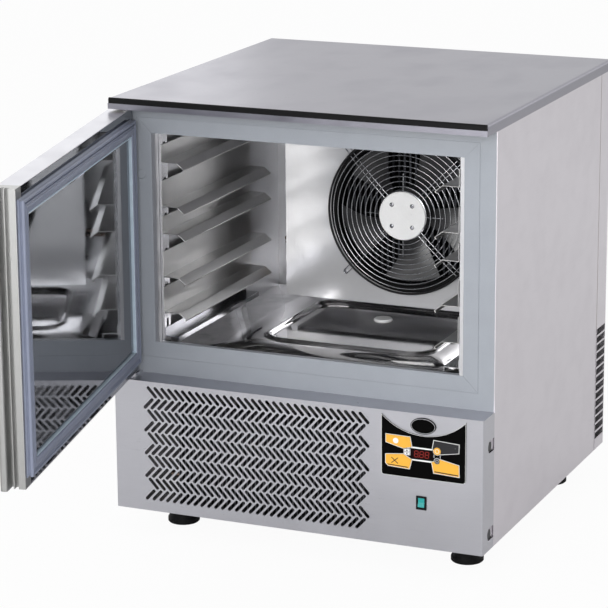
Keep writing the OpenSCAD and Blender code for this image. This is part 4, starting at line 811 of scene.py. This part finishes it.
keyMarks = {"startDot": (-54, 68.2, 5.4), "printLight": (62.5, 66.5, 1.3),
            "menuBar": (22.4, 17.4, 68.2, 15.2, 2.0),
            "modeMarks": [(-62.5, 35.5, -49.5, 24.5, 1.5), (-62.5, 24.5, -49.5, 35.5, 1.5),
                          (-70.2, 21.3, -29.6, 19.5, 1.7)],
            "upArrow": [(-34.2, 50.9), (-29.8, 50.9), (-32, 53.6)],
            "downArrow": [(-34.2, 47.3), (-29.8, 47.3), (-32, 44.6)],
            "upperRing": (4.2, -0.9), "lowerRing": (3.2, -0.8)}  # radius and how far it reaches inwards


def offsetLine(points, distance):  # a closed line moved outwards, whichever way round it runs
    area = sum(a[0] * b[1] - b[0] * a[1] for a, b in zip(points, points[1:] + points[:1]))
    side = distance if area > 0 else -distance
    moved = []
    for before, here, after in zip(points[-1:] + points[:-1], points, points[1:] + points[:1]):
        inwards = (Vector(here) - Vector(before)).normalized()
        outwards = (Vector(after) - Vector(here)).normalized()
        n1, n2 = Vector((inwards.y, -inwards.x)), Vector((outwards.y, -outwards.x))
        middle = (n1 + n2).normalized()
        moved.append(tuple(Vector(here) + middle * side / max(middle.dot(n1), controls["mitre"])))
    return moved


def band(points, near, far):  # the strip between two offsets of a closed line, as four-sided shapes
    a, b = offsetLine(points, near), offsetLine(points, far)
    return [[a[i], a[(i + 1) % len(a)], b[(i + 1) % len(b)], b[i]] for i in range(len(a))]


def ellipse(x, z, radii, steps):
    angles = [2 * math.pi * k / steps for k in range(steps)]
    return [(x + radii[0] * math.cos(a), z + radii[1] * math.sin(a)) for a in angles]


def disc(x, z, r, steps=32):
    return ellipse(x, z, (r, r), steps)


def bar(x0, z0, x1, z1, width):
    along = (Vector((x1, z1)) - Vector((x0, z0))).normalized() * width / 2
    return [(x0 - along.y, z0 + along.x), (x0 + along.y, z0 - along.x),
            (x1 + along.y, z1 - along.x), (x1 - along.y, z1 + along.x)]


def printMark(name, shapes, face, finish, body):  # thin films that stand on a face of the controls
    cx, cz = controls["corner"]
    points, faces = [], []
    for shape in shapes:
        first, n = len(points), len(shape)
        for y in (face - controls["sink"], face - controls["film"]):
            points += [(cx + x, y, cz + z) for x, z in shape]
        faces += [tuple(range(first, first + n)), tuple(range(first + 2 * n - 1, first + n - 1, -1))]
        faces += [(first + i, first + (i + 1) % n, first + n + (i + 1) % n, first + n + i) for i in range(n)]
    addPiece(name, points, faces, finish, body)


def printKey(name, shapes, finish, key):
    printMark(name, shapes, controls["key"], finish, key + "_body")


def overlayEdge():  # the arch above, then the two rounded lower corners
    radius, half, corner = controls["archRadius"], controls["halfWidth"], controls["edgeCorner"]
    arch = [(x, controls["archTop"] - math.sqrt(radius ** 2 - x ** 2))
            for x in [-half + 2 * half * k / 40 for k in range(41)]]
    quarter = [math.pi / 2 * k / 6 for k in range(7)]
    right = [(half - corner + corner * math.cos(a), corner - corner * math.sin(a)) for a in quarter]
    left = [(corner - half - corner * math.sin(a), corner - corner * math.cos(a)) for a in quarter]
    return arch + right + left


def sevenSegments(x, z):  # all seven strokes of one digit
    w, h, s, slant = digit["width"], digit["height"], digit["stroke"], digit["slant"]
    strokes = []
    for dx, dz, long, upright in ((0, h / 2, w, False), (0, 0, w, False), (0, -h / 2, w, False),
                                  (-w / 2, h / 4, h / 2, True), (w / 2, h / 4, h / 2, True),
                                  (-w / 2, -h / 4, h / 2, True), (w / 2, -h / 4, h / 2, True)):
        half = long / 2 - digit["gap"]
        flat = [(-half, 0), (-half + s / 2, s / 2), (half - s / 2, s / 2),
                (half, 0), (half - s / 2, -s / 2), (-half + s / 2, -s / 2)]
        turned = [(b, a) if upright else (a, b) for a, b in flat]
        strokes.append([(x + dx + a + slant * (dz + b), z + dz + b) for a, b in turned])
    return strokes


outlines = band(overlayEdge(), -controls["border"], -controls["borderInset"])
for shape in keyShapes.values():
    outlines += band(shape, *keyOutline)
printMark("overlayOutlines", outlines + windowBars, controls["overlay"], "printWhite", "cabinet")

columns = [bar(*ends) for ends in columnBars]
for x, z, r, reach in roundKeys.values():
    columns += band(disc(x, z, r), keyOutline[0], reach)
printMark("overlayColumns", columns, controls["overlay"], "printSilver", "cabinet")

oval = ellipse(*ovalPlate["middle"], ovalPlate["radii"], ovalPlate["steps"])
ovalRing = band(oval, *ovalPlate["ring"])
printMark("ovalOutline", ovalRing, controls["plate"], "printSilver", "cabinet")

digitX, digitZ = digit["middle"]
digits = [stroke for k in (-1, 0, 1) for stroke in sevenSegments(digitX + k * digit["pitch"], digitZ)]
pointX, pointZ, pointRadius = digit["point"]
digits.append(disc(digitX - digit["pitch"] / 2 + pointX, digitZ + pointZ, pointRadius, 12))
printMark("displayDigits", digits, controls["window"], "digitRed", "cabinet")

printKey("startDot", [disc(*keyMarks["startDot"])], "printWhite", "key_start")
printKey("modeMarks", [bar(*ends) for ends in keyMarks["modeMarks"]], "keyDark", "key_mode")
printKey("menuBar", [bar(*keyMarks["menuBar"])], "keyDark", "key_menu")
printKey("printLight", [disc(*keyMarks["printLight"], 16)], "keyGrey", "key_print")
printKey("upArrow", [keyMarks["upArrow"]], "keyDark", "key_up")
printKey("downArrow", [keyMarks["downArrow"]], "keyDark", "key_down")
for place, finish in (("upper", "printWhite"), ("lower", "printSilver")):
    radius, inwards = keyMarks[place + "Ring"]
    ring = band(disc(*roundKeys[place][:2], radius), inwards, 0)
    printKey(place + "Ring", ring, finish, "key_round_" + place)
print("marks printed")

# studio: floor, lamps, world and camera
studio = {"floorSize": 30.0, "floorColour": (0.66, 0.66, 0.66), "floorWhite": 0.95, "floorShine": 0.1,
          "skyTop": 0.72, "skyLow": 0.95,
          "lamps": [("frontLamp", (0.6, -4.4, 1.5), (3.2, 2.2), 115, (0, -0.1, 0.5)),
                    ("keyLamp", (-2.6, -2.6, 3.4), (1.6, 1.6), 22, (0, -0.1, 0.5)),
                    ("backLamp", (-2.3, 2.7, 1.75), (1.5, 1.3), 4, (0, -0.1, 0.5)),
                    ("floorLamp", (2.6, 3.2, 1.8), (2.0, 2.0), 12, (2.5, 3.1, 0))],  # place, size, watts, aim
          "eye": (1.917, -4.736, 1.753), "eyeTurn": (75.15, 0.42, 23.36), "lens": 158.4, "sensor": 36,
          "farthest": 50}
white = (1, 1, 1, 1)


def layFloor():  # white to the camera, with a trace of the object's shadow
    mesh = bpy.data.meshes.new("studioFloor")
    h = studio["floorSize"] / 2
    mesh.from_pydata([(-h, -h, 0), (h, -h, 0), (h, h, 0), (-h, h, 0)], [], [(0, 1, 2, 3)])
    floor = bpy.data.objects.new("studioFloor", mesh)
    bpy.context.collection.objects.link(floor)
    board = Finish("floor_paper")
    soft = board.noise((400, 400, 400), 2.0)
    board.set(colour=board.tint(studio["floorColour"], 1 + (soft - 0.5) * 0.02), roughness=0.9)
    camera = board.add("ShaderNodeLightPath", {}, {}, "Is Camera Ray")
    glossy = board.add("ShaderNodeLightPath", {}, {}, "Is Glossy Ray")
    glass = board.add("ShaderNodeLightPath", {}, {}, "Is Transmission Ray")
    paper = board.add("ShaderNodeEmission", {}, {"Color": white, "Strength": 1.0})
    share = camera * studio["floorWhite"] + (glossy + glass) * studio["floorShine"]
    board.show(board.add("ShaderNodeMixShader", {}, {0: share, 1: board.surface, 2: paper}))
    mesh.materials.append(board.material)


def hangLamps():
    for name, place, size, power, target in studio["lamps"]:
        light = bpy.data.lights.new(name, "AREA")
        light.shape = "RECTANGLE"
        light.size, light.size_y = size
        light.energy = power
        lamp = bpy.data.objects.new(name, light)
        lamp.location = place
        lamp.rotation_euler = (Vector(target) - lamp.location).to_track_quat("-Z", "Y").to_euler()
        bpy.context.collection.objects.link(lamp)


def fillWorld():  # plain white to the camera; a soft sky that dims towards the top for everything else
    world = bpy.data.worlds.new("studioWorld")
    bpy.context.scene.world = world
    board = Board(world, "ShaderNodeOutputWorld")
    where = board.add("ShaderNodeTexCoord", {}, {}, "Generated")
    up = board.add("ShaderNodeSeparateXYZ", {}, {0: where}, "Z")
    sky = board.add("ShaderNodeMapRange", {}, {
        "Value": up, "To Min": studio["skyLow"], "To Max": studio["skyTop"]}, "Result")
    lit = board.add("ShaderNodeBackground", {}, {"Color": white, "Strength": sky})
    seen = board.add("ShaderNodeBackground", {}, {"Color": white, "Strength": 1.0})
    camera = board.add("ShaderNodeLightPath", {}, {}, "Is Camera Ray")
    board.show(board.add("ShaderNodeMixShader", {}, {0: camera, 1: lit, 2: seen}))


def placeCamera():
    lens = bpy.data.cameras.new("photoCamera")
    lens.sensor_width = studio["sensor"]
    lens.lens = studio["lens"]
    lens.clip_end = studio["farthest"]
    camera = bpy.data.objects.new("photoCamera", lens)
    camera.location = studio["eye"]
    camera.rotation_euler = [math.radians(turn) for turn in studio["eyeTurn"]]
    bpy.context.collection.objects.link(camera)
    bpy.context.scene.camera = camera


layFloor()
hangLamps()
fillWorld()
placeCamera()
bpy.context.scene.view_settings.view_transform = "Standard"
print("studio set")
